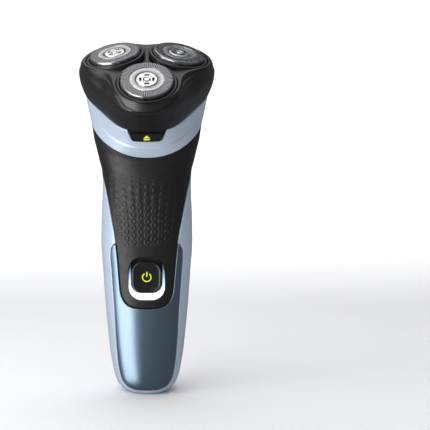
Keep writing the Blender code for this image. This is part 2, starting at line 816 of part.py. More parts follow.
def head_drive(head, name, azimuth):
    """One head's gear, its spindle and the spring round the spindle."""
    angle = math.radians(azimuth)
    place = (SPINDLE_CIRCLE * math.cos(angle), SPINDLE_CIRCLE * math.sin(angle), GEAR_BOTTOM)
    spin = frame_empty("drive_axis_" + name, place, parent=head)
    thickness = GEAR_TOP - GEAR_BOTTOM
    radius = MODULE * GEAR_TEETH / 2
    phase = angle + math.pi + math.pi / GEAR_TEETH
    gear = finish("drive_gear_" + name, prism(gear_outline(GEAR_TEETH, radius, phase), 0, thickness), NYLON, spin)
    boss = finish("drive_gear_boss_" + name, prism(circle(2.2, 14), -1.0, thickness + 1.8), None, spin)
    stub = finish("drive_gear_stub_" + name, prism(circle(1.0, 12), -2.7, 0.5), None, spin)
    bore = finish("drive_gear_bore_" + name, prism(circle(1.4, 12), 0.6, thickness + 4), None, spin)
    join(gear, boss, stub)
    cut(gear, bore)
    top = SPINDLE_TOP - GEAR_BOTTOM
    profile = [
        (0, 0.9), (1.1, 0.9), (1.1, top - 5.2), (1.9, top - 5.2), (1.9, top - 2.4),
        (SPINDLE_TIP_RADIUS, top - 1.6), (SPINDLE_TIP_RADIUS, top - 0.4), (1.0, top), (0, top),
    ]
    finish("drive_spindle_" + name, turned(profile, 12), NYLON, spin)
    finish("spindle_spring_" + name, coil(1.75, 0.22, top - 10.6, top - 5.8, 3), STEEL, spin)


def coil(radius, wire, low, high, turns, steps=8, sides=4):
    """Round wire wound into a helix between two heights."""
    rings = []
    count = int(turns * steps)
    for i in range(count + 1):
        angle = 2 * math.pi * turns * i / count
        outward = Vector((math.cos(angle), math.sin(angle), 0))
        centre = outward * radius + Vector((0, 0, low + wire + (high - low - 2 * wire) * i / count))
        ring = []
        for j in range(sides):
            around = 2 * math.pi * j / sides
            ring.append(centre + outward * wire * math.cos(around) + Vector((0, 0, wire * math.sin(around))))
        rings.append(ring)
    return ring_stack(rings)


def collar_plate(low, high, margin):
    """Plate that fills the collar's inside between two levels of the head's frame."""
    rings = []
    for level in (low, high):
        station = COLLAR_END + level - COLLAR_TOP
        rings.append(body_ring(min(station, COLLAR_END), WALL + margin, 36))
    lift = max(0.0, high - COLLAR_TOP)
    if lift:
        tilt = math.radians(HEAD_TILT)
        rings[1] = [(x, y - lift * math.sin(tilt), z + lift * math.cos(tilt)) for x, y, z in rings[1]]
    return ring_stack(rings)


def gear_floor(head):
    """Lower plate of the gear chamber, with bearings for the three gears."""
    plate = finish("gear_floor", collar_plate(GEAR_FLOOR_BOTTOM, GEAR_FLOOR_TOP, GAP), DARK)
    holes = [prism(circle(SHAFT_RADIUS + 0.5, 12), GEAR_FLOOR_BOTTOM - 1, GEAR_FLOOR_TOP + 1)]
    for azimuth in HEAD_AZIMUTHS:
        place = spindle_place(azimuth)
        holes.append(prism(circle(1.3, 12, place), GEAR_FLOOR_BOTTOM - 1, GEAR_FLOOR_TOP + 1))
    cut(plate, finish("gear_floor_holes", merged(holes), None, head))
    return plate


def spindle_place(azimuth):
    angle = math.radians(azimuth)
    return (SPINDLE_CIRCLE * math.cos(angle), SPINDLE_CIRCLE * math.sin(angle))


def drive_bulkhead(head):
    """Plate under the shaving unit, with a tower round each spindle."""
    plate = finish("drive_bulkhead", collar_plate(BULKHEAD_BOTTOM, BULKHEAD_TOP, GAP), BLACK)
    towers = []
    bores = []
    for azimuth in HEAD_AZIMUTHS:
        place = spindle_place(azimuth)
        low = circle(TOWER_RADIUS + 0.7, 20, place)
        high = circle(TOWER_RADIUS, 20, place)
        levels = ((low, BULKHEAD_BOTTOM + 0.4), (high, TOWER_TOP))
        towers.append(ring_stack([[(x, y, z) for x, y in ring] for ring, z in levels]))
        bores.append(prism(circle(TOWER_BORE, 16, place), BULKHEAD_BOTTOM - 2, TOWER_TOP + 2))
    join(plate, finish("drive_bulkhead_towers", merged(towers), None, head))
    cut(plate, finish("drive_bulkhead_bores", merged(bores), None, head))
    notch = box((-9.4, 9.4), (-30, -19.4), (BULKHEAD_BOTTOM - 2, BULKHEAD_TOP + 2))
    cut(plate, finish("drive_bulkhead_notch", notch, None, head))
    return plate


def release_button(head):
    """Trapezoid button in the collar with a catch for the head cover; it presses in."""
    origin_z = COLLAR_TOP - RELEASE_HEIGHT / 2
    travel = frame_empty("release_axis", (0, 0, origin_z), parent=head)
    outline = [(x, z - origin_z) for x, z in release_outline(0.0, COLLAR_TOP - 0.2)]
    rings = []
    for level in (-21.3, -23.0):
        rings.append([(x, level - 0.09 * z, z) for x, z in outline])
    rings.append([(x * 0.95, -23.3 - 0.09 * z, z * 0.92) for x, z in outline])
    button = finish("release_button", ring_stack(rings), BLACK, travel)
    catch = finish(
        "release_button_catch",
        box((-3.5, 3.5), (-21.9, -20.9), (0.5, RELEASE_HEIGHT / 2 + 2.2)),
        None, travel,
    )
    join(button, catch)
    return button


def cover_ring(row, inset, steps):
    height, front, side, corner, flank, back = row
    points = []
    for i in range(steps):
        angle = 2 * math.pi * i / steps
        x, y = inset_point(lambda a: head_radius(a, front, side, corner, flank, back), angle, inset)
        points.append((x, y, height))
    return points


def head_cover(swing):
    """Black outer cover of the shaving unit, open below and round each shaving head."""
    steps = 44
    rings = [cover_ring(row, 0.0, steps) for row in COVER_RINGS]
    for share, height in COVER_DOME:
        rings.append([(x * share, y * share, height) for x, y, _ in rings[len(COVER_RINGS) - 1]])
    cover = finish("head_cover", shifted(ring_stack(rings)), BLACK, swing)
    inner = [cover_ring((COVER_BOTTOM - 2, *COVER_RINGS[0][1:]), COVER_WALL, steps)]
    for row in COVER_RINGS[:4]:
        inner.append(cover_ring(row, COVER_WALL, steps))
    inner.append(cover_ring((COVER_ROOF, *COVER_RINGS[3][1:]), COVER_WALL + 0.4, steps))
    cut(cover, finish("head_cover_hollow", shifted(ring_stack(inner)), None, swing))
    for name, azimuth in zip(HEAD_NAMES, HEAD_AZIMUTHS):
        pocket = prism(circle(POCKET_RADIUS, 30), -10, 8)
        pivots = prism(circle(0.95, 8, (0, TILT_AXIS_Z)), -14.2, 14.2, "Y")
        cut(cover, guard_shaped("head_cover_pocket_" + name, pocket, azimuth, swing))
        cut(cover, guard_shaped("head_cover_pivots_" + name, pivots, azimuth, swing))
    relief = box((-3.8, 3.8), (HINGE_Y - 2.4, HINGE_Y + 3), (HINGE_Z - 3, HINGE_Z + 2.3))
    cut(cover, finish("head_cover_relief", shifted(relief), None, swing))
    lugs = []
    for low, high in ((3.8, 7.0), (-7.0, -3.8)):
        lugs.append(prism(circle(HINGE_RADIUS, 16, (HINGE_Y, HINGE_Z)), low, high, "X"))
    join(cover, finish("head_cover_lugs", shifted(merged(lugs)), None, swing))
    webs = []
    for low, high in ((3.8, 7.0), (-7.0, -3.8)):
        outline = [
            (HINGE_Y - 2.2, HINGE_Z + 0.2), (HINGE_Y + 0.6, HINGE_Z + 0.2),
            (HINGE_Y + 0.2, HINGE_Z + 2.4), (HINGE_Y - 1.4, HINGE_Z + 5.0), (HINGE_Y - 2.2, HINGE_Z + 5.0),
        ]
        webs.append(prism(outline, low, high, "X"))
    join(cover, finish("head_cover_webs", shifted(merged(webs)), None, swing))
    bore = prism(circle(HINGE_BORE_RADIUS, 12, (HINGE_Y, HINGE_Z)), -9, 9, "X")
    cut(cover, finish("head_cover_bore", shifted(bore), None, swing))
    return cover


def shifted(mesh_data):
    """Moves a shape from the head's frame to the hinge axis that the shaving unit swings on."""
    return moved(mesh_data, (0, -HINGE_Y, -HINGE_Z))


def guard_frame(name, azimuth, parent, offset):
    """Empty at a shaving head's centre, its Z leaning outwards and its Y along the tilt axis."""
    angle = math.radians(azimuth)
    centre = Vector((HEAD_CIRCLE * math.cos(angle), HEAD_CIRCLE * math.sin(angle), 0)) + Vector(offset)
    turn = Matrix.Rotation(angle, 4, "Z") @ Matrix.Rotation(math.radians(OUTWARD_LEAN), 4, "Y")
    rotation = [math.degrees(v) for v in turn.to_euler()]
    return frame_empty(name, centre, rotation, parent)


def guard_shaped(name, mesh_data, azimuth, swing):
    """A helper shape given in one shaving head's frame."""
    frame = guard_frame(name + "_frame", azimuth, swing, (0, -HINGE_Y, -HINGE_Z))
    return finish(name, mesh_data, None, frame)


def retaining_frame(swing):
    """Frame under the shaving heads that holds them in the cover."""
    rings = []
    for level in (-10.0, -8.7):
        rings.append(cover_ring((level, *COVER_RINGS[3][1:]), COVER_WALL + 0.8, 40))
    frame = finish("retaining_frame", shifted(ring_stack(rings)), DARK, swing)
    holes = []
    for azimuth in HEAD_AZIMUTHS:
        holes.append(prism(circle(9.2, 28, spindle_place(azimuth)), -13, -6))
    holes.append(prism(circle(2.2, 14), -13, -6))
    cut(frame, finish("retaining_frame_holes", shifted(merged(holes)), None, swing))
    return frame


def hinge_pin(head):
    return finish("hinge_pin", prism(circle(HINGE_PIN_RADIUS, 12, (HINGE_Y, HINGE_Z)), -7.4, 7.4, "X"), STEEL, head)


def shaving_head(swing, name, azimuth):
    """Holder ring, guard, guard cap and cutter of one shaving head."""
    frame = guard_frame("head_frame_" + name, azimuth, swing, (0, -HINGE_Y, -HINGE_Z))
    tilt = frame_empty("tilt_axis_" + name, (0, 0, TILT_AXIS_Z), parent=frame)
    top = -0.9 - TILT_AXIS_Z
    low = -3.8 - TILT_AXIS_Z
    profile = [
        (RING_INNER, low), (RING_OUTER, low), (RING_OUTER, top - 0.6), (RING_OUTER - 0.5, top), (RING_INNER, top),
    ]
    ring = finish("holder_ring_" + name, turned(profile, 30), BLACK, tilt)
    pins = [
        prism(circle(0.6, 8), RING_OUTER - 0.5, RING_OUTER + 0.9, "Y"),
        prism(circle(0.6, 8), -RING_OUTER - 0.9, -RING_OUTER + 0.5, "Y"),
    ]
    join(ring, finish("holder_ring_pins_" + name, merged(pins), None, tilt))
    slide = frame_empty("float_axis_" + name, (0, 0, 0), parent=frame)
    inner = GUARD_RADIUS - 0.65
    profile = [
        (inner, -4.0), (GUARD_RADIUS, -4.0), (GUARD_RADIUS, -0.4), (GUARD_RADIUS - 0.35, 0.0),
        (7.5, 0.0), (7.5, -0.25), (7.0, -0.25), (7.0, -0.05), (CAP_RADIUS + GAP, -0.05),
        (CAP_RADIUS + GAP, -0.6), (inner, -0.6),
    ]
    finish("guard_" + name, turned(profile, 30), STEEL, slide)
    profile = [
        (0, -0.6), (CAP_RADIUS, -0.6), (CAP_RADIUS, -0.15), (CAP_RADIUS - 0.3, 0.0),
        (1.4, 0.0), (1.4, 0.1), (0, 0.1),
    ]
    finish("guard_cap_" + name, turned(profile, 18), STEEL, slide)
    spin = frame_empty("cutter_axis_" + name, (0, 0, 0), parent=frame)
    profile = [
        (0, -2.4), (CUTTER_RADIUS, -2.4), (CUTTER_RADIUS, -3.2), (HUB_RADIUS, -3.2), (HUB_RADIUS, -6.5),
        (SOCKET_RADIUS, -6.5), (SOCKET_RADIUS, -3.4), (0, -3.4),
    ]
    cutter = finish("cutter_" + name, turned(profile, 24), STEEL, spin)
    blades = []
    for i in range(BLADES):
        blade = box((7.4, CUTTER_RADIUS - 0.2), (-0.35, 0.35), (-2.7, -0.95))
        blades.append(moved(blade, turn=360.0 * i / BLADES))
    join(cutter, finish("cutter_blades_" + name, merged(blades), None, spin))


def trimmer_bay():
    """Tray in the back of the handle that the folded trimmer lies in."""
    bay = finish("trimmer_bay", box((-10.4, 10.4), (11.9, 14.6), (77.4, 103.4)), DARK)
    hollow = finish(
        "trimmer_bay_hollow",
        box((-TRIMMER_X - 0.4, TRIMMER_X + 0.4), (13.1, 18), (TRIMMER_AXIS_Z - TRIMMER_HEEL - 0.5, 102.2)),
        None,
    )
    cut(bay, hollow)
    return bay


def back_surface(inset, low, high):
    """Closed solid of the handle between two heights, to shape what lies flush with it."""
    count = 6
    levels = [low + (high - low) * i / count for i in range(count + 1)]
    return ring_stack([body_ring(level, inset, 40) for level in levels])


def trimmer(pivot):
    """Pop-up trimmer: its arm flush with the back, the fixed comb and the moving blade."""
    heel = TRIMMER_HEEL
    front = TRIMMER_FRONT - TRIMMER_AXIS_Y
    top = TRIMMER_TOP - TRIMMER_AXIS_Z
    outline = [(4.0, top), (front, top)]
    for i in range(9):
        angle = math.radians(180 + 180 * i / 8)
        outline.append((heel * math.cos(angle), heel * math.sin(angle)))
    outline.append((4.0, 1.5))
    arm = finish("trimmer_arm", prism(outline, -TRIMMER_X, TRIMMER_X, "X"), BLUE, pivot)
    surface = finish("trimmer_arm_surface", back_surface(0.1, 74.0, 104.0), None)
    combine(arm, surface, "INTERSECT")
    comb_low = top + GAP
    comb = [box((-8.8, 8.8), (-0.6, 1.4), (comb_low, comb_low + 1.4))]
    blade = [box((-8.0, 8.0), (-2.2, -0.9), (comb_low, comb_low + 1.3))]
    for i in range(TRIMMER_TEETH):
        x = -7.8 + 15.6 * i / (TRIMMER_TEETH - 1)
        comb.append(box((x - 0.35, x + 0.35), (-0.6, 0.9), (comb_low + 1.0, comb_low + 3.4)))
        if i % 2 == 0:
            x *= 0.94
            blade.append(box((x - 0.5, x + 0.5), (-1.7, -0.9), (comb_low + 0.9, comb_low + 3.0)))
    for name, parts in (("trimmer_comb", comb), ("trimmer_blade", blade)):
        plate = finish(name, parts.pop(0), STEEL, pivot)
        join(plate, finish(name + "_teeth", merged(parts), None, pivot))


def trimmer_slider():
    """Thumb slide below the trimmer; pushing it up swings the trimmer out."""
    place = (0, 19.0, 66.0)
    thumb = finish("trimmer_slider", prism(rounded_box(4.6, -3.6, 3.6, 1.6, 3), 0.35, 1.7, "Y"), DARK, location=place)
    neck = finish("trimmer_slider_neck", box((-1.6, 1.6), (-4.2, 0.9), (-3.0, 3.0)), None, location=place)
    foot = finish("trimmer_slider_foot", box((-3.6, 3.6), (-5.4, -3.9), (-3.2, 3.2)), None, location=place)
    join(thumb, neck, foot)
    return thumb


def build():
    clear_scene()
    head = frame_empty("head_axis", (0, HEAD_Y, HEAD_Z), (HEAD_TILT, 0, 0))
    rear_shell()
    neck_collar(head)
    front_panel()
    front_grip()
    power_button()
    light_ring()
    button_seal()
    power_switch()
    status_led()
    circuit_board()
    chassis()
    chassis_screws()
    battery()
    base_cap()
    charging_socket()
    socket_pins()
    motor(head)
    central_gear(head)
    gear_floor(head)
    drive_bulkhead(head)
    release_button(head)
    hinge_pin(head)
    swing = frame_empty("head_hinge_axis", (0, HINGE_Y, HINGE_Z), parent=head)
    head_cover(swing)
    retaining_frame(swing)
    for name, azimuth in zip(HEAD_NAMES, HEAD_AZIMUTHS):
        head_drive(head, name, azimuth)
        shaving_head(swing, name, azimuth)
    trimmer_bay()
    trimmer(frame_empty("trimmer_axis", (0, TRIMMER_AXIS_Y, TRIMMER_AXIS_Z)))
    trimmer_slider()


build()
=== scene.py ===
"""Looks of the electric shaver on its CAD frame. Lengths are millimetres until a mesh is made."""

import json
import math

import bmesh
import bpy
import numpy as np
from mathutils import Matrix, Vector


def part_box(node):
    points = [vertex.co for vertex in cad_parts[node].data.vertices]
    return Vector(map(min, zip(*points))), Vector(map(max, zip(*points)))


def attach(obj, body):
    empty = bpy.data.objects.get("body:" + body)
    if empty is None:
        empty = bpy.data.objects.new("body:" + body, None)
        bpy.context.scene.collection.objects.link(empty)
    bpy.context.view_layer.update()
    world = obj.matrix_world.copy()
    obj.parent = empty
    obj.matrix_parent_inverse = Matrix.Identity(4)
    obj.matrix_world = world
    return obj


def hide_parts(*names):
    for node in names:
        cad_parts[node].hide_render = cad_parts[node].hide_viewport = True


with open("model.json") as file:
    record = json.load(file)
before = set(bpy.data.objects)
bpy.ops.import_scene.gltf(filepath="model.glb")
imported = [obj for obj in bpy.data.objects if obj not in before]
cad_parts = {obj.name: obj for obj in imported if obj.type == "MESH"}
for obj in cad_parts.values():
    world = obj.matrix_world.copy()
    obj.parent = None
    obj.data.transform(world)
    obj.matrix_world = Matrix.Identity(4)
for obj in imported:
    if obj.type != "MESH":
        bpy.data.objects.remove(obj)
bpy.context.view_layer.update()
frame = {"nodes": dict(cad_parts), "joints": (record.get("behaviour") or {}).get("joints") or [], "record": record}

MM = 0.001
JOINTS = {joint["name"]: joint for joint in frame["joints"]}
NODES = frame["nodes"]
HEADS = ("front", "right", "left")
GAP = 0.3

# ---------------------------------------------------------------- frames

CENTRES = {n: Vector(JOINTS["cutter_spin_" + n]["pos_m"]) / MM for n in HEADS}
NORMALS = {n: Vector(JOINTS["cutter_spin_" + n]["axis"]).normalized() for n in HEADS}
TANGENTS = {n: Vector(JOINTS["tilt_" + n]["axis"]).normalized() for n in HEADS}
HEAD_UP = Vector(JOINTS["main_spin"]["axis"]).normalized()
HEAD_BACK = HEAD_UP.cross(Vector((1, 0, 0)))
HEAD_ORIGIN = sum(CENTRES.values(), Vector()) / 3


def axes_matrix(x, y, z, origin):
    made = Matrix((x, y, z)).transposed().to_4x4()
    made.translation = origin
    return made


HEAD = axes_matrix(Vector((1, 0, 0)), HEAD_BACK, HEAD_UP, HEAD_ORIGIN)
GUARDS = {n: axes_matrix(TANGENTS[n].cross(NORMALS[n]), TANGENTS[n], NORMALS[n], CENTRES[n]) for n in HEADS}


HINGE = HEAD.inverted() @ (Vector(JOINTS["head_open"]["pos_m"]) / MM)
HINGE_EYE = 1.5


def through(matrix, points):
    """Points of shape (..., 3) moved by a 4x4 matrix."""
    whole = np.array(matrix)
    return np.asarray(points, float) @ whole[:3, :3].T + whole[:3, 3]


# ---------------------------------------------------------------- handle surface

SECTIONS = np.array((
    (0.0, 0.0, 0.0, 0.0, 11.5, 8.4, 11.0, 0.0),
    (0.8, 0.0, 0.8, 0.0, 12.8, 10.0, 12.2, 0.0),
    (2.1, 0.0, 2.1, 0.0, 14.0, 11.8, 13.5, 0.0),
    (4.7, 0.0, 4.7, 0.0, 15.3, 13.6, 15.0, 0.0),
    (8.0, 0.0, 8.0, 0.0, 16.1, 14.75, 16.0, 0.0),
    (13.0, 0.0, 13.0, 0.0, 16.8, 15.75, 16.9, 0.0),
    (20.5, 0.0, 20.5, 0.0, 17.3, 16.85, 17.7, 0.0),
    (30.0, 0.0, 30.0, 0.0, 17.7, 17.8, 18.3, 0.0),
    (42.0, 0.0, 42.0, 0.0, 18.0, 18.85, 18.7, 0.0),
    (55.0, 0.0, 55.0, 0.0, 18.2, 19.7, 19.0, 0.0),
    (68.0, 0.0, 68.0, 0.0, 18.2, 20.55, 19.0, 0.0),
    (80.0, 0.0, 80.0, 0.0, 18.0, 20.35, 18.8, 0.0),
    (93.0, 0.2, 93.0, 0.0, 18.0, 19.85, 18.4, 0.0),
    (99.0, 0.6, 99.3, 7.0, 18.2, 20.1, 18.0, 0.0),
    (105.0, 0.7, 105.3, 15.0, 18.9, 21.4, 17.8, 0.0),
    (111.0, 0.4, 111.0, 23.0, 20.0, 22.75, 17.9, 0.03),
    (116.5, 0.0, 115.66, 30.0, 21.3, 24.1, 18.4, 0.1),
    (120.5, -2.0, 119.12, 30.0, 22.0, 25.5, 19.0, 0.35),
    (125.0, -4.25, 123.02, 30.0, 22.85, 27.2, 19.8, 0.7),
    (132.0, -7.75, 129.08, 30.0, 23.7, 28.8, 21.0, 1.0),
))
GRIP_EDGE = np.array((
    (39.6, 1.8), (39.9, 4.6), (40.6, 7.2), (42.0, 9.2), (43.5, 10.3), (46.1, 11.4),
    (52.0, 12.05), (60.5, 12.75), (69.8, 13.8), (78.6, 15.45), (87.4, 17.25), (92.0, 18.3),
))
PANEL_EDGE = np.array((
    (2.4, 5.0), (2.9, 7.0), (3.8, 8.8), (5.2, 10.2), (7.6, 11.4), (12.6, 12.5),
    (20.7, 13.3), (40.4, 14.4), (55.0, 15.4), (62.0, 15.9), (64.8, 15.9), (66.4, 15.3),
    (67.6, 14.5), (69.0, 12.0),
))
GRIP_WRAP = np.array((
    (92.0, 64.5), (96.0, 74.0), (100.0, 85.0), (105.0, 97.0), (110.0, 107.0), (116.5, 116.0),
))
COLLAR_START, COLLAR_END = 116.5, 132.0
WALL = 1.9
BAY = (79.0, 102.2)
THUMB_SLOT = (62.0, 75.0)
THROUGH_BACK = (11.0, 24.0)


def curve(knots, at):
    """Monotone cubic through (position, value) knots, at an array of positions."""
    xs, ys = knots[:, 0], knots[:, 1]
    steps = np.diff(xs)
    slopes = np.diff(ys) / steps
    tangents = np.concatenate([[slopes[0]], np.zeros(len(xs) - 2), [slopes[-1]]])
    for i in range(1, len(xs) - 1):
        if slopes[i - 1] * slopes[i] > 0:
            before, after = 2 * steps[i] + steps[i - 1], steps[i] + 2 * steps[i - 1]
            tangents[i] = (before + after) / (before / slopes[i - 1] + after / slopes[i])
    at = np.clip(at, xs[0], xs[-1])
    i = np.clip(np.searchsorted(xs, at) - 1, 0, len(xs) - 2)
    t = (at - xs[i]) / steps[i]
    return (
        (1 + 2 * t) * (1 - t) ** 2 * ys[i] + t * (1 - t) ** 2 * steps[i] * tangents[i]
        + t * t * (3 - 2 * t) * ys[i + 1] + t * t * (t - 1) * steps[i] * tangents[i + 1]
    )


def pull(angle, walls, power):
    """One over the reach of a rounded outline inside (angle, distance) walls."""
    total = 0.0
    for direction, distance in walls:
        facing = np.maximum(0.0, np.cos(angle - math.radians(direction)))
        total = total + (facing / distance) ** power
    return total ** (1 / power)


def oval(angle, front, side, back):
    return 1 / pull(angle, ((0, front), (90, side), (-90, side), (180, back)), 2.4)


def lobed(angle, front, side, corner, flank, back):
    nose = pull(angle, ((0, front), (60, flank), (-60, flank)), 7.0)
    rear = pull(angle, ((90, side), (-90, side), (120, corner), (-120, corner), (180, back)), 16.0)
    return (nose ** 16.0 + rear ** 16.0) ** (-1 / 16.0)


def section(stations):
    return [curve(SECTIONS[:, (0, c)], stations) for c in range(1, 8)]


def handle_radius(parts, angle):
    front, side, back, lobe = parts[3:]
    head = lobed(angle, front, side, side + 1.4, front - 2.8, back)
    return (1 - lobe) * oval(angle, front, side, back) + lobe * head


def flat_point(radius_of, angle, inset):
    """x and y of an outline, moved inwards along its normal."""
    step = 1e-4
    radius = radius_of(angle)
    slope = (radius_of(angle + step) - radius_of(angle - step)) / (2 * step)
    ray = np.stack([np.sin(angle), -np.cos(angle)], -1)
    along = np.stack([np.cos(angle), np.sin(angle)], -1)
    normal = radius[..., None] * ray - slope[..., None] * along
    normal /= np.linalg.norm(normal, axis=-1, keepdims=True)
    return radius[..., None] * ray - np.asarray(inset)[..., None] * normal


def lifted(stations, angles):
    """Stations after the lift of the collar's lower edge, which is greatest at the sides."""
    turn = np.abs(np.degrees(angles)) % 360
    turn = np.minimum(turn, 360 - turn)
    share = np.where(turn < 72, turn / 72, (180 - turn) / 108)
    rise = 1.0 + 3.9 * np.sin(math.pi / 2 * share) ** 2
    below, above = ramp(99.0, COLLAR_START, stations), ramp(131.0, COLLAR_START, stations)
    return stations + rise * np.where(stations < COLLAR_START, below, above)


def surface(stations, angles, inset=0.0):
    """Points of the handle at stations and angles from the front, inset by so much."""
    stations, angles, inset = np.broadcast_arrays(
        np.asarray(stations, float), np.asarray(angles, float), np.asarray(inset, float)
    )
    parts = section(lifted(stations, angles))
    flat = flat_point(lambda a: handle_radius(parts, a), angles, inset)
    tilt = np.radians(parts[2])
    x, depth = flat[..., 0], flat[..., 1]
    return np.stack([x, parts[0] + depth * np.cos(tilt), parts[1] + depth * np.sin(tilt)], -1)


def halved(low, high, short):
    """Halves ranges towards where short(value) stops being true, and gives their lower ends."""
    for _ in range(40):
        middle = (low + high) / 2
        below = short(middle)
        low, high = np.where(below, middle, low), np.where(below, high, middle)
    return low


def angle_at_x(stations, x):
    """Angle from the front at which the handle's outline reaches this x."""
    stations = np.asarray(stations, float)
    parts = section(stations)
    sideways = np.full_like(stations, math.radians(89))
    return halved(np.zeros_like(stations), sideways, lambda a: handle_radius(parts, a) * np.sin(a) < x)


def grip_angle(stations, margin=0.0):
    stations = np.asarray(stations, float)
    wrapped = np.radians(curve(GRIP_WRAP, stations)) + margin / section(stations)[4]
    flat = angle_at_x(stations, curve(GRIP_EDGE, stations) + margin)
    return np.where(stations >= GRIP_WRAP[0, 0], wrapped, flat)


def shell_angle(stations):
    grip = grip_angle(stations, GAP)
    panel = angle_at_x(stations, curve(PANEL_EDGE, stations) + GAP)
    both = np.where(stations > GRIP_EDGE[0, 0], np.maximum(grip, panel), panel)
    return np.where(stations > PANEL_EDGE[-1, 0], grip, both)


# ---------------------------------------------------------------- meshes

def new_object(name, made, smooth=35.0):
    """An object from a bmesh in millimetres in the row frame."""
    bmesh.ops.recalc_face_normals(made, faces=made.faces)
    bmesh.ops.scale(made, vec=(MM, MM, MM), verts=made.verts)
    mesh = bpy.data.meshes.new(name)
    made.to_mesh(mesh)
    made.free()
    mesh.shade_smooth()
    mesh.set_sharp_from_angle(angle=math.radians(smooth))
    obj = bpy.data.objects.new(name, mesh)
    bpy.context.scene.collection.objects.link(obj)
    return obj


def grid_solid(outer, inner, present=None, wrap=False):
    """A bmesh with an outer and an inner face for each present cell of a grid, and walls round its edges."""
    rows, columns = outer.shape[:2]
    cells = columns if wrap else columns - 1
    if present is None:
        present = np.ones((rows - 1, cells), bool)
    made = bmesh.new()
    verts = {}
    layers = (outer, inner)

    def vert(layer, i, j):
        key = (layer, i, j)
        if key not in verts:
            verts[key] = made.verts.new(layers[layer][i, j])
        return verts[key]

    def there(i, j):
        if wrap:
            j %= cells
        return 0 <= i < rows - 1 and 0 <= j < cells and present[i, j]

    for i in range(rows - 1):
        for j in range(cells):
            if not present[i, j]:
                continue
            k = (j + 1) % columns
            corners = ((i, j), (i, k), (i + 1, k), (i + 1, j))
            made.faces.new([vert(0, *corner) for corner in corners])
            made.faces.new([vert(1, *corner) for corner in reversed(corners)])
            for side, beside in enumerate(((i - 1, j), (i, j + 1), (i + 1, j), (i, j - 1))):
                if not there(*beside):
                    a, b = corners[side], corners[(side + 1) % 4]
                    made.faces.new((vert(0, *a), vert(1, *a), vert(1, *b), vert(0, *b)))
    return made


def ring_stack(rings):
    """A closed bmesh through a stack of rings with the same number of points."""
    made = bmesh.new()
    rows = [[made.verts.new(point) for point in ring] for ring in rings]
    for low, high in zip(rows, rows[1:]):
        for j in range(len(low)):
            k = (j + 1) % len(low)
            made.faces.new((low[j], low[k], high[k], high[j]))
    made.faces.new(rows[0])
    made.faces.new(rows[-1])
    return made


def turned(profile, steps, matrix=Matrix(), closed=True):
    """A bmesh that turns a (radius, height) profile about Z, moved by a matrix."""
    turns = np.arange(steps) * 2 * math.pi / steps
    made = bmesh.new()
    rows = []
    for radius, height in profile:
        if radius < 1e-6:
            rows.append([made.verts.new(matrix @ Vector((0, 0, height)))])
        else:
            around = [Vector((radius * math.cos(a), radius * math.sin(a), height)) for a in turns]
            rows.append([made.verts.new(matrix @ point) for point in around])
    pairs = list(zip(rows, rows[1:])) + ([(rows[-1], rows[0])] if closed else [])
    for low, high in pairs:
        for j in range(steps):
            k = (j + 1) % steps
            corners = [low[j % len(low)], low[k % len(low)], high[k % len(high)], high[j % len(high)]]
            corners = list(dict.fromkeys(corners))
            if len(corners) > 2:
                made.faces.new(corners)
    return made


def swept(matrix, line, turns, slant=0.0):
    """Points of a (radius, height) line at each turn round Z, moved by a matrix."""
    angle = turns[None, :] + np.broadcast_to(slant, len(line))[:, None]
    radius, height = line[:, :1], line[:, 1:] + 0 * angle
    return through(matrix, np.stack([radius * np.cos(angle), radius * np.sin(angle), height], -1))


def prism(outline, low, high, axis="Z", matrix=Matrix(), edge=0.0):
    """Extrudes a flat outline between two levels, with its rims rounded off by edge."""
    points = np.asarray(outline, float)
    middle = points.mean(0)
    size = np.abs(points - middle).max(0)

    def ring(level, shrink):
        flat = middle + (points - middle) * (1 - shrink / size)
        if axis == "Z":
            placed = [(a, b, level) for a, b in flat]
        elif axis == "Y":
            placed = [(a, level, b) for a, b in flat]
        else:
            placed = [(level, a, b) for a, b in flat]
        return [matrix @ Vector(p) for p in placed]

    if edge <= 0:
        return ring_stack([ring(low, 0), ring(high, 0)])
    sign = 1 if high > low else -1
    bends = [(edge * (1 - math.cos(t)), edge * (1 - math.sin(t))) for t in (0, 0.5, 1.0, math.pi / 2)]
    rings = [ring(low + sign * along, shrink) for along, shrink in bends]
    rings += [ring(high - sign * along, shrink) for along, shrink in reversed(bends)]
    return ring_stack(rings)


def rounded(half_x, low, high, corner, steps=10):
    points = []
    centres = (
        (half_x - corner, low + corner, -90), (half_x - corner, high - corner, 0),
        (corner - half_x, high - corner, 90), (corner - half_x, low + corner, 180),
    )
    for cx, cz, start in centres:
        for i in range(steps + 1):
            angle = math.radians(start + 90 * i / steps)
            points.append((cx + corner * math.cos(angle), cz + corner * math.sin(angle)))
    return points


def circle(radius, steps, centre=(0, 0)):
    turns = np.arange(steps) * 2 * math.pi / steps
    return [(centre[0] + radius * math.cos(a), centre[1] + radius * math.sin(a)) for a in turns]


def merged(parts):
    whole = bmesh.new()
    for part in parts:
        mesh = bpy.data.meshes.new("merge")
        part.to_mesh(mesh)
        part.free()
        whole.from_mesh(mesh)
        bpy.data.meshes.remove(mesh)
    return whole


def cut(obj, *shapes):
    """Takes bmesh shapes off an object and keeps the result as its mesh."""
    helpers = []
    for shape in shapes:
        helper = new_object("helper", shape)
        modifier = obj.modifiers.new("cut", "BOOLEAN")
        modifier.operation = "DIFFERENCE"
        modifier.solver = "EXACT"
        modifier.object = helper
        helpers.append(helper)
    bpy.context.view_layer.update()
    graph = bpy.context.evaluated_depsgraph_get()
    result = bpy.data.meshes.new_from_object(obj.evaluated_get(graph))
    obj.modifiers.clear()
    obj.data = result
    result.name = obj.name
    for helper in helpers:
        bpy.data.objects.remove(helper)
    result.shade_smooth()
    result.set_sharp_from_angle(angle=math.radians(35))
    return obj


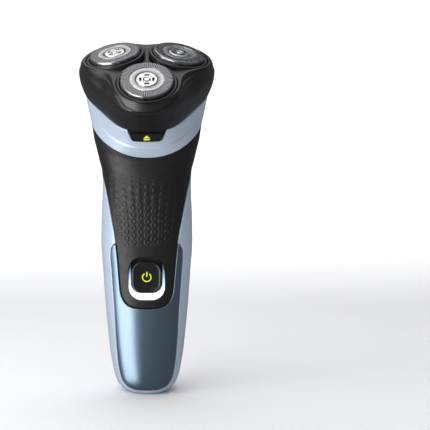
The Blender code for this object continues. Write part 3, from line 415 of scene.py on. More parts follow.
def by_hinge(*offsets):
    """Points round the hinge's axis, in the shaving unit's y and z."""
    return [(HINGE.y + y, HINGE.z + z) for y, z in offsets]


def spaced(low, high, count, near=(0.0, 0.06, 0.16, 0.32, 0.55)):
    """Positions from low to high, close together at both ends."""
    inner = np.linspace(low + near[-1], high - near[-1], count)
    return np.concatenate([low + np.array(near[:-1]), inner, high - np.array(near[:-1])[::-1]])


def roll(distance, radius):
    """How far a rounded edge has dropped at a distance from it."""
    short = np.clip(radius - distance, 0, radius)
    return radius - np.sqrt(np.maximum(radius * radius - short * short, 0))


def ramp(low, high, value):
    t = np.clip((value - low) / (high - low), 0, 1)
    return t * t * (3 - 2 * t)


def add(name, made, slot, body, *replaced, finish=None, smooth=35.0):
    """Makes an object, or takes one, gives it the material of its slot, puts it on its body and hides the nodes it
    stands for.
    """
    obj = made if isinstance(made, bpy.types.Object) else new_object(name, made, smooth)
    obj.data.materials.clear()
    obj.data.materials.append((finish or LOOKS[slot]).material)
    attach(obj, body)
    if replaced:
        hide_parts(*replaced)
    return obj


# ---------------------------------------------------------------- materials

class Look:
    """A Principled material with a small node tree on the object's own coordinates."""

    def __init__(self, name, colour, roughness, metallic=0.0, **sockets):
        self.material = bpy.data.materials.new(name)
        self.material.use_nodes = True
        self.tree = self.material.node_tree
        self.shader = self.tree.nodes["Principled BSDF"]
        self.shader.inputs["Base Color"].default_value = (*colour, 1.0)
        self.shader.inputs["Roughness"].default_value = roughness
        self.shader.inputs["Metallic"].default_value = metallic
        for socket, value in sockets.items():
            self.shader.inputs[socket.replace("_", " ")].default_value = value
        self.colour = colour
        self.place = self.node("ShaderNodeTexCoord").outputs["Object"]

    def node(self, kind, **values):
        made = self.tree.nodes.new(kind)
        for key, value in values.items():
            setattr(made, key, value)
        return made

    def link(self, a, b):
        self.tree.links.new(a, b)

    def noise(self, scale, detail=3.0, stretch=None):
        noise = self.node("ShaderNodeTexNoise")
        noise.inputs["Scale"].default_value = scale
        noise.inputs["Detail"].default_value = detail
        place = self.place
        if stretch:
            mapping = self.node("ShaderNodeMapping")
            mapping.inputs["Scale"].default_value = stretch
            self.link(place, mapping.inputs["Vector"])
            place = mapping.outputs["Vector"]
        self.link(place, noise.inputs["Vector"])
        return noise.outputs["Fac"]

    def between(self, value, low, high, bottom=0.3, top=0.7):
        spread = self.node("ShaderNodeMapRange")
        for socket, number in (("From Min", bottom), ("From Max", top), ("To Min", low), ("To Max", high)):
            spread.inputs[socket].default_value = number
        self.link(value, spread.inputs["Value"])
        return spread.outputs["Result"]

    def mottle(self, value, amount):
        """Varies the base colour a little, by a value from 0 to 1."""
        mix = self.node("ShaderNodeMix", data_type="RGBA")
        mix.inputs[6].default_value = (*[c * (1 - amount) for c in self.colour], 1)
        mix.inputs[7].default_value = (*[min(1, c * (1 + amount)) for c in self.colour], 1)
        self.link(value, mix.inputs[0])
        self.link(mix.outputs[2], self.shader.inputs["Base Color"])
        return self

    def rough(self, value, low, high):
        self.link(self.between(value, low, high), self.shader.inputs["Roughness"])
        return self

    def bump(self, value, strength, depth):
        bump = self.node("ShaderNodeBump")
        bump.inputs["Strength"].default_value = strength
        bump.inputs["Distance"].default_value = depth
        self.link(value, bump.inputs["Height"])
        self.link(bump.outputs["Normal"], self.shader.inputs["Normal"])
        return self


def moulded(name, colour, roughness, grain=2600.0, depth=0.00002, mottle=0.06, strength=0.35, **sockets):
    """Moulded plastic: fine spark-eroded grain, slow colour drift and uneven gloss."""
    look = Look(name, colour, roughness, **sockets)
    look.mottle(look.between(look.noise(90.0), 0.0, 1.0), mottle)
    look.rough(look.noise(420.0, 4.0), roughness - 0.05, roughness + 0.06)
    return look.bump(look.noise(grain, 2.0), strength, depth)


def brushed(name, colour, roughness, stretch, metallic=1.0, **sockets):
    look = Look(name, colour, roughness, metallic, **sockets)
    lines = look.noise(500.0, 5.0, stretch)
    look.mottle(look.between(lines, 0.0, 1.0), 0.12)
    look.rough(lines, roughness - 0.06, roughness + 0.1)
    return look.bump(lines, 0.25, 0.00002)


def turned_steel(name, head, colour, roughness, rings=5200.0, inner=None):
    """Steel with fine rings round a shaving head's axis, and a polished inner zone."""
    look = Look(name, colour, roughness, 1.0)
    mapping = look.node("ShaderNodeMapping", vector_type="TEXTURE")
    mapping.inputs["Location"].default_value = CENTRES[head] * MM
    mapping.inputs["Rotation"].default_value = GUARDS[head].to_euler()
    look.link(look.place, mapping.inputs["Vector"])
    wave = look.node("ShaderNodeTexWave", wave_type="RINGS", rings_direction="Z")
    wave.inputs["Scale"].default_value = rings / (2 * math.pi)
    wave.inputs["Distortion"].default_value = 0.6
    wave.inputs["Detail"].default_value = 2.0
    look.link(mapping.outputs["Vector"], wave.inputs["Vector"])
    look.mottle(look.between(look.noise(700.0, 4.0), 0.0, 1.0), 0.14)
    if inner:
        parts = look.node("ShaderNodeSeparateXYZ")
        look.link(mapping.outputs["Vector"], parts.inputs["Vector"])
        flat = look.node("ShaderNodeCombineXYZ")
        look.link(parts.outputs["X"], flat.inputs["X"])
        look.link(parts.outputs["Y"], flat.inputs["Y"])
        radius = look.node("ShaderNodeVectorMath", operation="LENGTH")
        look.link(flat.outputs["Vector"], radius.inputs[0])
        zones = look.node("ShaderNodeValToRGB")
        stops = zones.color_ramp.elements
        stops[0].position, stops[0].color = 0.0, (*[c * 0.45 for c in inner], 1)
        stops[1].position, stops[1].color = 0.80, (*colour, 1)
        for position, shade in ((0.25, 0.5), (0.7, 1.0), (0.78, 1.0)):
            stops.new(position).color = (*[c * shade for c in inner], 1)
        look.link(look.between(radius.outputs["Value"], 0.0, 1.0, 4.4 * MM, 8.0 * MM), zones.inputs["Fac"])
        tone = look.node("ShaderNodeMix", data_type="RGBA", blend_type="MULTIPLY")
        tone.inputs[0].default_value = 1.0
        speck = look.node("ShaderNodeMix", data_type="RGBA")
        speck.inputs[6].default_value = (0.8, 0.8, 0.8, 1)
        speck.inputs[7].default_value = (1.0, 1.0, 1.0, 1)
        look.link(look.between(look.noise(700.0, 4.0), 0.0, 1.0), speck.inputs[0])
        look.link(zones.outputs["Color"], tone.inputs[6])
        look.link(speck.outputs[2], tone.inputs[7])
        look.link(tone.outputs[2], look.shader.inputs["Base Color"])
    look.rough(look.noise(350.0, 4.0), roughness - 0.07, roughness + 0.08)
    return look.bump(wave.outputs["Fac"], 0.3, 0.000012)


def ice_blue():
    look = Look("ice_blue_plastic", (0.52, 0.61, 0.74), 0.34, 0.15, Coat_Weight=0.3, Coat_Roughness=0.22)
    look.mottle(look.between(look.noise(5200.0, 2.0), 0.0, 1.0), 0.07)
    look.rough(look.noise(380.0, 4.0), 0.30, 0.40)
    return look.bump(look.noise(3600.0, 2.0), 0.2, 0.00001)


def panel_blue():
    look = Look("blue_panel", (0.17, 0.24, 0.32), 0.36, 0.85, Coat_Weight=0.5, Coat_Roughness=0.16)
    look.mottle(look.between(look.noise(6500.0, 2.0), 0.0, 1.0), 0.09)
    look.rough(look.noise(500.0, 4.0), 0.33, 0.39)
    return look.bump(look.noise(4200.0, 2.0), 0.12, 0.000008)


def light_guide():
    """Frosted light guide: glows white at the bottom and bluer up the sides; its glow and base colour darken to
    near black towards the top as painted shade.
    """
    look = Look("light_guide", (0.9, 0.94, 1.0), 0.35, Emission_Strength=0.9)
    low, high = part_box("light_ring")
    parts = look.node("ShaderNodeSeparateXYZ")
    look.link(look.place, parts.inputs["Vector"])
    up = look.between(parts.outputs["Z"], 0.0, 1.0, low.z, high.z)
    # Emission ramp: white glow at the bottom, bluer midway, near black at the top as painted shade.
    glow_with_painted_shade = look.node("ShaderNodeValToRGB")
    stops = glow_with_painted_shade.color_ramp.elements
    stops[0].position, stops[0].color = 0.24, (1.0, 1.0, 1.0, 1)
    stops[1].position, stops[1].color = 0.95, (0.0, 0.005, 0.02, 1)
    middle = stops.new(0.5)
    middle.color = (0.30, 0.52, 0.85, 1)
    look.link(up, glow_with_painted_shade.inputs["Fac"])
    look.link(glow_with_painted_shade.outputs["Color"], look.shader.inputs["Emission Color"])
    # Base colour ramp: pale at the bottom, near black towards the top as painted shade.
    base_with_painted_shade = look.node("ShaderNodeValToRGB")
    ends = base_with_painted_shade.color_ramp.elements
    ends[0].position, ends[0].color = 0.3, (0.92, 0.95, 1.0, 1)
    ends[1].position, ends[1].color = 0.9, (0.04, 0.06, 0.1, 1)
    look.link(up, base_with_painted_shade.inputs["Fac"])
    look.link(base_with_painted_shade.outputs["Color"], look.shader.inputs["Base Color"])
    return look.bump(look.noise(2400.0, 2.0), 0.2, 0.00001)


LOOKS = {
    "ice_blue_plastic": ice_blue(),
    "blue_panel": panel_blue(),
    "soft_black": moulded("soft_black", (0.012, 0.0118, 0.0115), 0.46, 2100.0, 0.00002, 0.12,
                           Specular_IOR_Level=0.42),
    "head_black": moulded("head_black", (0.011, 0.0108, 0.0105), 0.34, 2600.0, 0.000012, 0.1, 0.3,
                           Specular_IOR_Level=0.62),
    "button_black": moulded("button_black", (0.011, 0.011, 0.012), 0.25, 3000.0, 0.000006, 0.1, 0.2),
    "inner_black": moulded("inner_black", (0.03, 0.03, 0.033), 0.5),
    "light_white": light_guide(),
    "seal_rubber": moulded("seal_rubber", (0.012, 0.012, 0.013), 0.7),
    "nylon": moulded("nylon", (0.74, 0.72, 0.66), 0.45),
    "brass_contact": brushed("brass_contact", (0.75, 0.56, 0.27), 0.25, (8.0, 8.0, 1.0)),
    "board_green": moulded("board_green", (0.03, 0.16, 0.07), 0.4, 900.0, 0.00003, 0.2),
    "cell_wrap": moulded("cell_wrap", (0.05, 0.12, 0.2), 0.3, 700.0, 0.00002, 0.1),
    "plain_steel": brushed("plain_steel", (0.56, 0.56, 0.58), 0.3, (1.0, 1.0, 9.0)),
    # Cutter steel is darker than the other steels so the guard slots above it read dark: painted shade.
    "shaver_steel": brushed("shaver_steel", (0.30, 0.30, 0.32), 0.3, (9.0, 1.0, 1.0)),
    "bright_steel": brushed("bright_steel", (0.72, 0.72, 0.74), 0.16, (1.0, 9.0, 1.0)),
}
# Yellow printed marks on the buttons; their small emission is a painted glow.
SYMBOL = moulded("symbol_yellow", (0.62, 0.72, 0.02), 0.4, Emission_Strength=0.35)
SYMBOL.shader.inputs["Emission Color"].default_value = (0.62, 0.74, 0.02, 1)


# ---------------------------------------------------------------- handle

def edge_distance(x, y, edge):
    """Distance in millimetres from points to a polyline of (x, y)."""
    best = np.full(np.broadcast(x, y).shape, 1e9)
    for (ax, ay), (bx, by) in zip(edge, edge[1:]):
        length = (bx - ax) ** 2 + (by - ay) ** 2
        if length < 1e-12:
            continue
        t = np.clip(((x - ax) * (bx - ax) + (y - ay) * (by - ay)) / length, 0, 1)
        best = np.minimum(best, np.hypot(x - ax - t * (bx - ax), y - ay - t * (by - ay)))
    return best


def reach(stations):
    return section(np.asarray(stations, float))[4]


def rear_shell():
    ring_top = 2.1
    stations = np.unique(np.concatenate([
        [0.0, 0.05, 0.15, 0.35, 0.6, 1.0, 1.5, 1.8, 2.0, ring_top],
        np.linspace(2.25, 9, 16), np.linspace(10, 61, 30),
        np.linspace(61.5, 69.5, 28), np.linspace(70.5, 92, 18), np.linspace(93, 115.6, 24),
        [115.85, 116.0, 116.1, 116.16, COLLAR_START - GAP],
    ]))
    edge = shell_angle(np.maximum(stations, PANEL_EDGE[0, 0]))
    share = spaced(0.0, 1.0, 96, (0.0, 0.0008, 0.002, 0.004, 0.007))
    back = edge[:, None] + (2 * math.pi - 2 * edge[:, None]) * share
    front = -edge[:, None] + 2 * edge[:, None] * np.linspace(0, 1, 26)[1:-1]
    angles = np.concatenate([back, front], 1)
    around = len(share) - 1
    present = np.zeros((len(stations) - 1, angles.shape[1]), bool)
    present[:, :around] = True
    present[stations[:-1] < ring_top - 1e-6] = True
    side = np.minimum(angles - edge[:, None], 2 * math.pi - edge[:, None] - angles) * reach(stations)[:, None]
    side = np.where(stations[:, None] > ring_top, np.maximum(side, 0), 9.0)
    drop = roll(side, 0.35)
    drop = np.maximum(drop, roll(COLLAR_START - GAP - stations, 0.3)[:, None])
    drop = np.maximum(drop, roll(stations, 0.3)[:, None])
    across_front = (np.arange(angles.shape[1]) > around)[None, :]
    ledge = np.where(across_front, roll(ring_top - stations, 0.25)[:, None], 0)
    outer = surface(stations[:, None], angles, drop + ledge)
    inner = surface(stations[:, None], angles, WALL)
    obj = new_object("handle_shell", grid_solid(outer, inner, present, wrap=True))
    window_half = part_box("trimmer_arm")[1].x / MM + 0.4
    window = prism(rounded(window_half, *BAY, 1.2), *THROUGH_BACK, "Y")
    slot = prism(rounded(2.0, *THUMB_SLOT, 1.9), *THROUGH_BACK, "Y")
    cut(obj, window, slot)
    add("handle_shell", obj, "ice_blue_plastic", "handle", "rear_shell")


def neck_collar():
    stations = np.unique(np.concatenate([
        spaced(COLLAR_START, COLLAR_END, 34, (0.0, 0.04, 0.12, 0.25, 0.45)), np.linspace(121.6, 124.0, 14),
    ]))
    angles = np.linspace(0, 2 * math.pi, 241)[:-1]
    drop = roll(np.minimum(stations - COLLAR_START, COLLAR_END - stations), 0.4)
    front = ramp(1.7, 0.5, np.abs((angles + math.pi) % (2 * math.pi) - math.pi))
    crease = 0.45 * ramp(121.8, 123.2, stations) * ramp(131.8, 125.5, stations)
    inset = drop[:, None] + crease[:, None] * front[None, :]
    outer = surface(stations[:, None], angles[None, :], inset)
    inner = surface(stations[:, None], angles[None, :], WALL)
    obj = new_object("neck_ring", grid_solid(outer, inner, wrap=True))
    cut(obj, prism(release_outline(GAP, 2.0), -30, -17, "Y", HEAD))
    add("neck_ring", obj, "ice_blue_plastic", "handle", "neck_collar")
    eye = circle(HINGE_EYE, 40, (HINGE.y, HINGE.z))
    web = by_hinge((-3.4, -4.0), (0.0, -4.0), (0.4, -1.0), (-3.4, -0.9))
    parts = [prism(eye, -3.4, 3.4, "X", HEAD, 0.2), prism(web, -3.3, 3.3, "X", HEAD, 0.15)]
    add("neck_hinge_eye", merged(parts), "ice_blue_plastic", "handle")


RELEASE_TOP = -21.5
RELEASE_HEIGHT = 5.4


def release_outline(margin, rise=-0.2):
    """Trapezoid of the release button in the head's x and z."""
    bottom, top = RELEASE_TOP - RELEASE_HEIGHT - margin, RELEASE_TOP + rise
    low_half = 6.1 + margin
    slope = 2.0 / RELEASE_HEIGHT
    high_half = low_half + slope * (top - bottom)
    points = []
    for sign in (1, -1):
        corner = []
        for i in range(7):
            t = i / 6
            x = (1 - t) ** 2 * (low_half - 1.1) + 2 * t * (1 - t) * low_half + t * t * (low_half + slope)
            z = bottom + t * t
            corner.append((sign * x, z))
        corner.append((sign * high_half, top))
        points += corner if sign > 0 else corner[::-1]
    return points


def front_panel():
    notch = GRIP_EDGE[0, 0] - GAP
    stations = np.unique(np.concatenate([
        [2.4, 2.44, 2.5, 2.6, 2.75, 2.95, 3.2, 3.5, 3.9, 4.4],
        np.linspace(5, 38, 34), [38.4, 38.7, 38.95, 39.1, 39.2, notch],
        notch + np.array([0.05, 0.15, 0.3, 0.5, 0.75, 1.05, 1.4, 1.8, 2.3, 2.9, 3.6, 4.5, 5.6, 7.0]),
        np.linspace(48, 61, 12),
        np.linspace(61.6, 66.9, 18), [67.1, 67.25, 67.38, 67.46, 67.52, 67.56, 67.6],
    ]))
    outer_edge = angle_at_x(stations, curve(PANEL_EDGE, stations))
    inner_edge = angle_at_x(stations, curve(GRIP_EDGE, stations + GAP) + GAP)
    inner_edge = np.where(stations < notch, np.minimum(inner_edge, 0.9 * outer_edge), inner_edge)
    leg = spaced(0, 1, 12, (0.0, 0.02, 0.06, 0.11, 0.18))
    middle = np.linspace(-1, 1, 25)
    left = -outer_edge[:, None] + (outer_edge - inner_edge)[:, None] * leg[:-1]
    centre = inner_edge[:, None] * middle
    right = inner_edge[:, None] + (outer_edge - inner_edge)[:, None] * leg[1:]
    angles = np.concatenate([left, centre, right], 1)
    count = len(leg) - 1
    present = np.ones((len(stations) - 1, angles.shape[1] - 1), bool)
    present[stations[:-1] >= notch - 1e-6, count:count + len(middle) - 1] = False
    wide = reach(stations)[:, None]
    x, y = np.abs(angles) * wide, np.broadcast_to(stations[:, None], angles.shape)
    outline = list(zip(outer_edge * wide[:, 0], stations))
    outline = [(0.0, stations[0])] + outline + [(inner_edge[-1] * wide[-1, 0], stations[-1])]
    above = stations >= notch
    inside = [(0.0, notch)] + list(zip((inner_edge * wide[:, 0])[above], stations[above]))
    away = np.minimum(edge_distance(x, y, outline), edge_distance(x, y, inside))
    outer = surface(stations[:, None], angles, roll(away, 0.4))
    inner = surface(stations[:, None], angles, WALL)
    add("glossy_panel", grid_solid(outer, inner, present), "blue_panel", "handle", "front_panel")


BUMP_ROW = 3.0
BUMPS_LOW, BUMPS_HIGH = 66.5, 105.0


def bump_column(z):
    """Distance between neighbouring columns of bumps, which close up towards the button."""
    return 3.3 + 0.55 * ramp(70.0, 100.0, z)


def grip_bumps(x, z, half):
    """Height of the embossed pattern: staggered cups that become domes and then dots towards the neck."""
    pitch = bump_column(z)
    column = np.round(x / pitch)
    best = np.zeros(np.broadcast(x, z).shape)
    for shift in (-1, 0, 1):
        c = column + shift
        stagger = np.where(c % 2 == 0, 0.0, BUMP_ROW / 2)
        cz = np.round((z - stagger) / BUMP_ROW) * BUMP_ROW + stagger
        cx = c * pitch
        grow = ramp(BUMPS_HIGH, 86.0, cz)
        hollow = ramp(90.0, 82.0, cz)
        size = 0.45 + 0.92 * grow
        dx, dz = np.abs(x - cx), np.abs(z - cz)
        hexagon = np.maximum(dz * 0.866 + dx * 0.5, dx)
        across = 0.5 * hexagon + 0.5 * np.hypot(dx, dz)
        cup = ramp(size, size - 0.42, across) - 0.9 * hollow * ramp(size - 0.40, size - 0.95, across)
        lean = 1 + 0.55 * (1 - hollow) * np.clip((z - cz) / 1.4, -1, 1)
        room = ramp(1.6, 3.2, half - np.abs(cx)) * (cz < BUMPS_HIGH)
        room = room * ramp(BUMPS_LOW - 1.0, BUMPS_LOW + 3.0, cz)
        best = np.maximum(best, cup * lean * room * (0.09 + 0.11 * grow))
    return best


def front_grip():
    low, high = GRIP_EDGE[0, 0], COLLAR_START - GAP
    stations = np.unique(np.concatenate([
        low + np.array([0, 0.04, 0.1, 0.2, 0.35, 0.55, 0.8, 1.1, 1.5, 2.0, 2.6, 3.3, 4.2, 5.4, 7.0]),
        np.linspace(48, 65, 20),
        np.linspace(65.3, 104.5, 141), np.linspace(105.2, 115.6, 16), [115.85, 116.0, 116.1, 116.16, high],
    ]))
    edge = grip_angle(stations)
    inner = np.linspace(-1, 1, 165)
    ends = np.array([0.0, 0.003, 0.008, 0.016, 0.028])
    inner = inner * (1 - 2 * 0.028)
    share = np.concatenate([-1 + 2 * ends[:-1], inner, 1 - 2 * ends[:-1][::-1]])
    angles = edge[:, None] * share
    wide = reach(stations)[:, None]
    x, z = angles * wide, np.broadcast_to(stations[:, None], angles.shape)
    outline = [(0.0, low)] + list(zip(edge * wide[:, 0], stations)) + [(0.0, high)]
    away = edge_distance(np.abs(x), z, outline)
    height = grip_bumps(x, z, edge[:, None] * wide)
    outer = surface(stations[:, None], angles, roll(away, 0.45) - height + 0.02)
    inside = surface(stations[:, None], angles, WALL)
    obj = new_object("grip", grid_solid(outer, inside))
    cut(obj, prism(rounded(8.2, 43.1, 62.5, 6.0, 20), -24, -10, "Y"))
    add("grip", obj, "soft_black", "handle", "front_grip")


BUTTON = dict(half=6.5, low=46.5, high=60.2, front=-18.2)


def button_outline(grow, corner=4.2, steps=14):
    """Slightly barrel-shaped rounded square."""
    low, high = BUTTON["low"] - grow, BUTTON["high"] + grow
    points = rounded(BUTTON["half"] + grow, low, high, max(0.3, corner + grow), steps)
    middle = (low + high) / 2
    return [(x * (1 - 0.03 * max(0, (middle - z)) / (high - middle)), z) for x, z in points]


def power_button():
    """Button with a polished frame edge, a dished face and a raised power symbol."""
    front = BUTTON["front"]
    levels = (
        (-0.05, 2.9), (0.0, 2.6), (0.0, 0.55), (-0.06, 0.34), (-0.2, 0.14), (-0.4, 0.02), (-0.6, 0.0),
        (-0.78, 0.06), (-0.95, 0.17), (-1.3, 0.2), (-2.6, 0.27), (-3.9, 0.32), (-5.2, 0.34),
    )
    rings = []
    for grow, level in levels:
        scale = 1 + grow / BUTTON["half"]
        middle = (BUTTON["low"] + BUTTON["high"]) / 2
        base = button_outline(0.0)
        rings.append([(x * scale, front + level, middle + (z - middle) * scale) for x, z in base])
    add("power_cap", ring_stack(rings), "button_black", "button", "power_button", smooth=28)
    middle = (BUTTON["low"] + BUTTON["high"]) / 2 + 0.15
    face = front + 0.27
    ring = []
    steps, gap = 44, math.radians(33)
    for i in range(steps + 1):
        angle = math.pi / 2 + gap + (2 * math.pi - 2 * gap) * i / steps
        ring.append((math.cos(angle), math.sin(angle)))
    rows = []
    for radius, lift in ((1.6, 0.05), (1.62, -0.04), (1.7, -0.08), (2.0, -0.08), (2.08, -0.04), (2.1, 0.05)):
        rows.append([(radius * a, face + lift, middle + radius * b) for a, b in ring])
    outer = np.array(rows)
    inner = outer.copy()
    inner[..., 1] = face + 0.12
    ring_mesh = grid_solid(outer, inner)
    stroke = [(x, z + middle + 1.35) for x, z in rounded(0.27, -1.15, 1.15, 0.26, 6)]
    stem = prism(stroke, face + 0.12, face - 0.08, "Y")
    add("power_symbol", merged([ring_mesh, stem]), "button_black", "button", finish=SYMBOL)


def light_crescent():
    outer_half, low, high, corner = 7.95, 43.35, 59.0, 5.8
    inner_half, inner_low, inner_corner = 6.9, 46.1, 4.4
    steps = 16

    def profile(grow):
        points = []
        for i in range(steps + 1):
            a = math.radians(-90 + 90 * i / steps)
            c = corner + grow
            points.append((outer_half + grow - c + c * math.cos(a), low - grow + c + c * math.sin(a)))
        points += [(outer_half + grow, high - 6.0), (outer_half + grow - 0.1, high - 3.0)]
        points.append((inner_half - grow + 0.35, high + grow))
        points.append((inner_half - grow, high + grow))
        for i in range(steps + 1):
            a = math.radians(-90 * i / steps)
            c = inner_corner - grow
            points.append((inner_half - grow - c + c * math.cos(a), inner_low + grow + c + c * math.sin(a)))
        return points + [(-x, z) for x, z in reversed(points)]

    rings = []
    for grow, level in ((0.0, -14.6), (0.0, -17.0), (-0.06, -17.18), (-0.16, -17.25)):
        rings.append([(x, level, z) for x, z in profile(grow)])
    add("light_crescent", ring_stack(rings), "light_white", "handle", "light_ring")


def release_button():
    """Trapezoid button with a lit ledge near its top edge, its catch and a raised eject mark."""
    base = release_outline(0.0)
    bottom, top = RELEASE_TOP - RELEASE_HEIGHT, RELEASE_TOP - 0.2
    ledge = top - 1.45

    def face(z):
        lean = -23.0 - 0.09 * (z - (bottom + top) / 2)
        return lean + 1.1 * ramp(ledge + 0.1, ledge + 0.75, z)

    rows = np.concatenate([
        bottom + np.array([0, 0.05, 0.15, 0.3, 0.5]), np.linspace(bottom + 0.8, ledge - 0.3, 8),
        ledge + np.array([-0.12, 0.0, 0.1, 0.22, 0.36, 0.5, 0.64, 0.78]), [top - 0.2, top - 0.08, top],
    ])
    xs = np.array([x for x, z in base if x > 0])
    zs = np.array([z for x, z in base if x > 0])
    half = np.interp(rows, zs, xs)
    share = np.concatenate([[-1, -0.992, -0.975, -0.95], np.linspace(-0.9, 0.9, 19), [0.95, 0.975, 0.992, 1]])
    x = half[:, None] * share
    z = np.broadcast_to(rows[:, None], x.shape)
    outline = [(0.0, bottom)] + list(zip(xs, zs)) + [(0.0, top)]
    away = edge_distance(np.abs(x), z, outline)
    y = face(z) + roll(away, 0.35)
    outer = through(HEAD, np.stack([x, y, z], -1))
    inner = through(HEAD, np.stack([x, np.full_like(x, -21.3), z], -1))
    tongue = [(-3.5, -21.9), (3.5, -21.9), (3.5, -20.9), (-3.5, -20.9)]
    catch = prism(tongue, bottom + 3.0, RELEASE_TOP + 1.9, "Z", HEAD, 0.15)
    cap = merged([grid_solid(outer, inner), catch])
    add("release_cap", cap, "head_black", "release", "release_button", finish=LOOKS["button_black"])
    middle = bottom + 1.25
    lean = float(face(np.array(middle + 0.6)))
    marks = []
    for low_half, low, high_half, high in ((1.35, -0.35, 1.35, 0.25), (1.45, 0.62, 0.12, 1.95)):
        lower, upper = middle + low, middle + high
        outline = [(-low_half, lower), (low_half, lower), (high_half, upper), (-high_half, upper)]
        marks.append(prism(outline, lean + 0.2, lean - 0.14, "Y", HEAD, 0.05))
    add("release_symbol", merged(marks), "head_black", "release", finish=SYMBOL)


# ---------------------------------------------------------------- shaving unit

COVER_RINGS = np.array((
    (-21.2, 24.1, 29.1, 30.5, 20.9, 22.1),
    (-17.0, 25.8, 30.7, 31.9, 22.2, 22.7),
    (-13.0, 27.5, 31.7, 32.7, 23.0, 23.0),
    (-9.5, 29.5, 31.5, 32.7, 23.6, 23.1),
    (-6.8, 30.7, 30.7, 32.2, 23.9, 23.0),
    (-5.2, 30.7, 29.9, 31.6, 23.6, 22.8),
    (-4.3, 30.2, 29.1, 30.9, 23.0, 22.4),
))
COVER_WALL = 1.7
COVER_ROOF = -8.3
POCKET = 13.3
HEAD_CIRCLE = 16.4
HEAD_TURNS = [math.radians(a) for a in (-90, 30, 150)]
LEAN = math.radians(12)


def cover_point(angles, heights, inset=0.0):
    parts = [curve(COVER_RINGS[:, (0, c)], heights) for c in range(1, 6)]
    angles, inset = np.broadcast_arrays(angles, np.asarray(inset, float) + 0.0 * parts[0])
    return flat_point(lambda a: lobed(a, *parts), angles, inset)


def soft_min(a, b, k):
    h = np.clip(0.5 + 0.5 * (b - a) / k, 0, 1)
    return b * (1 - h) + a * h - k * h * (1 - h)


def plateau_distance(x, y):
    """Signed distance, negative inside, to discs round the three shaving heads melted together."""
    found = None
    for a in HEAD_TURNS:
        d = np.hypot(x - HEAD_CIRCLE * math.cos(a), y - HEAD_CIRCLE * math.sin(a)) - 14.2
        found = d if found is None else soft_min(found, d, 14.0)
    return found


def platform(x, y):
    """Height of the plateau that the three pockets are sunk in."""
    level = np.full_like(x, -1.5)
    for a in HEAD_TURNS:
        out = x * math.cos(a) + y * math.sin(a) - HEAD_CIRCLE
        level = soft_min(level, -(1.62 + math.sin(LEAN) * out) / math.cos(LEAN), 1.4)
    return level


def near_angle(angles, centre, width):
    off = (angles - math.radians(centre) + math.pi) % (2 * math.pi) - math.pi
    return np.exp(-(off / width) ** 2)


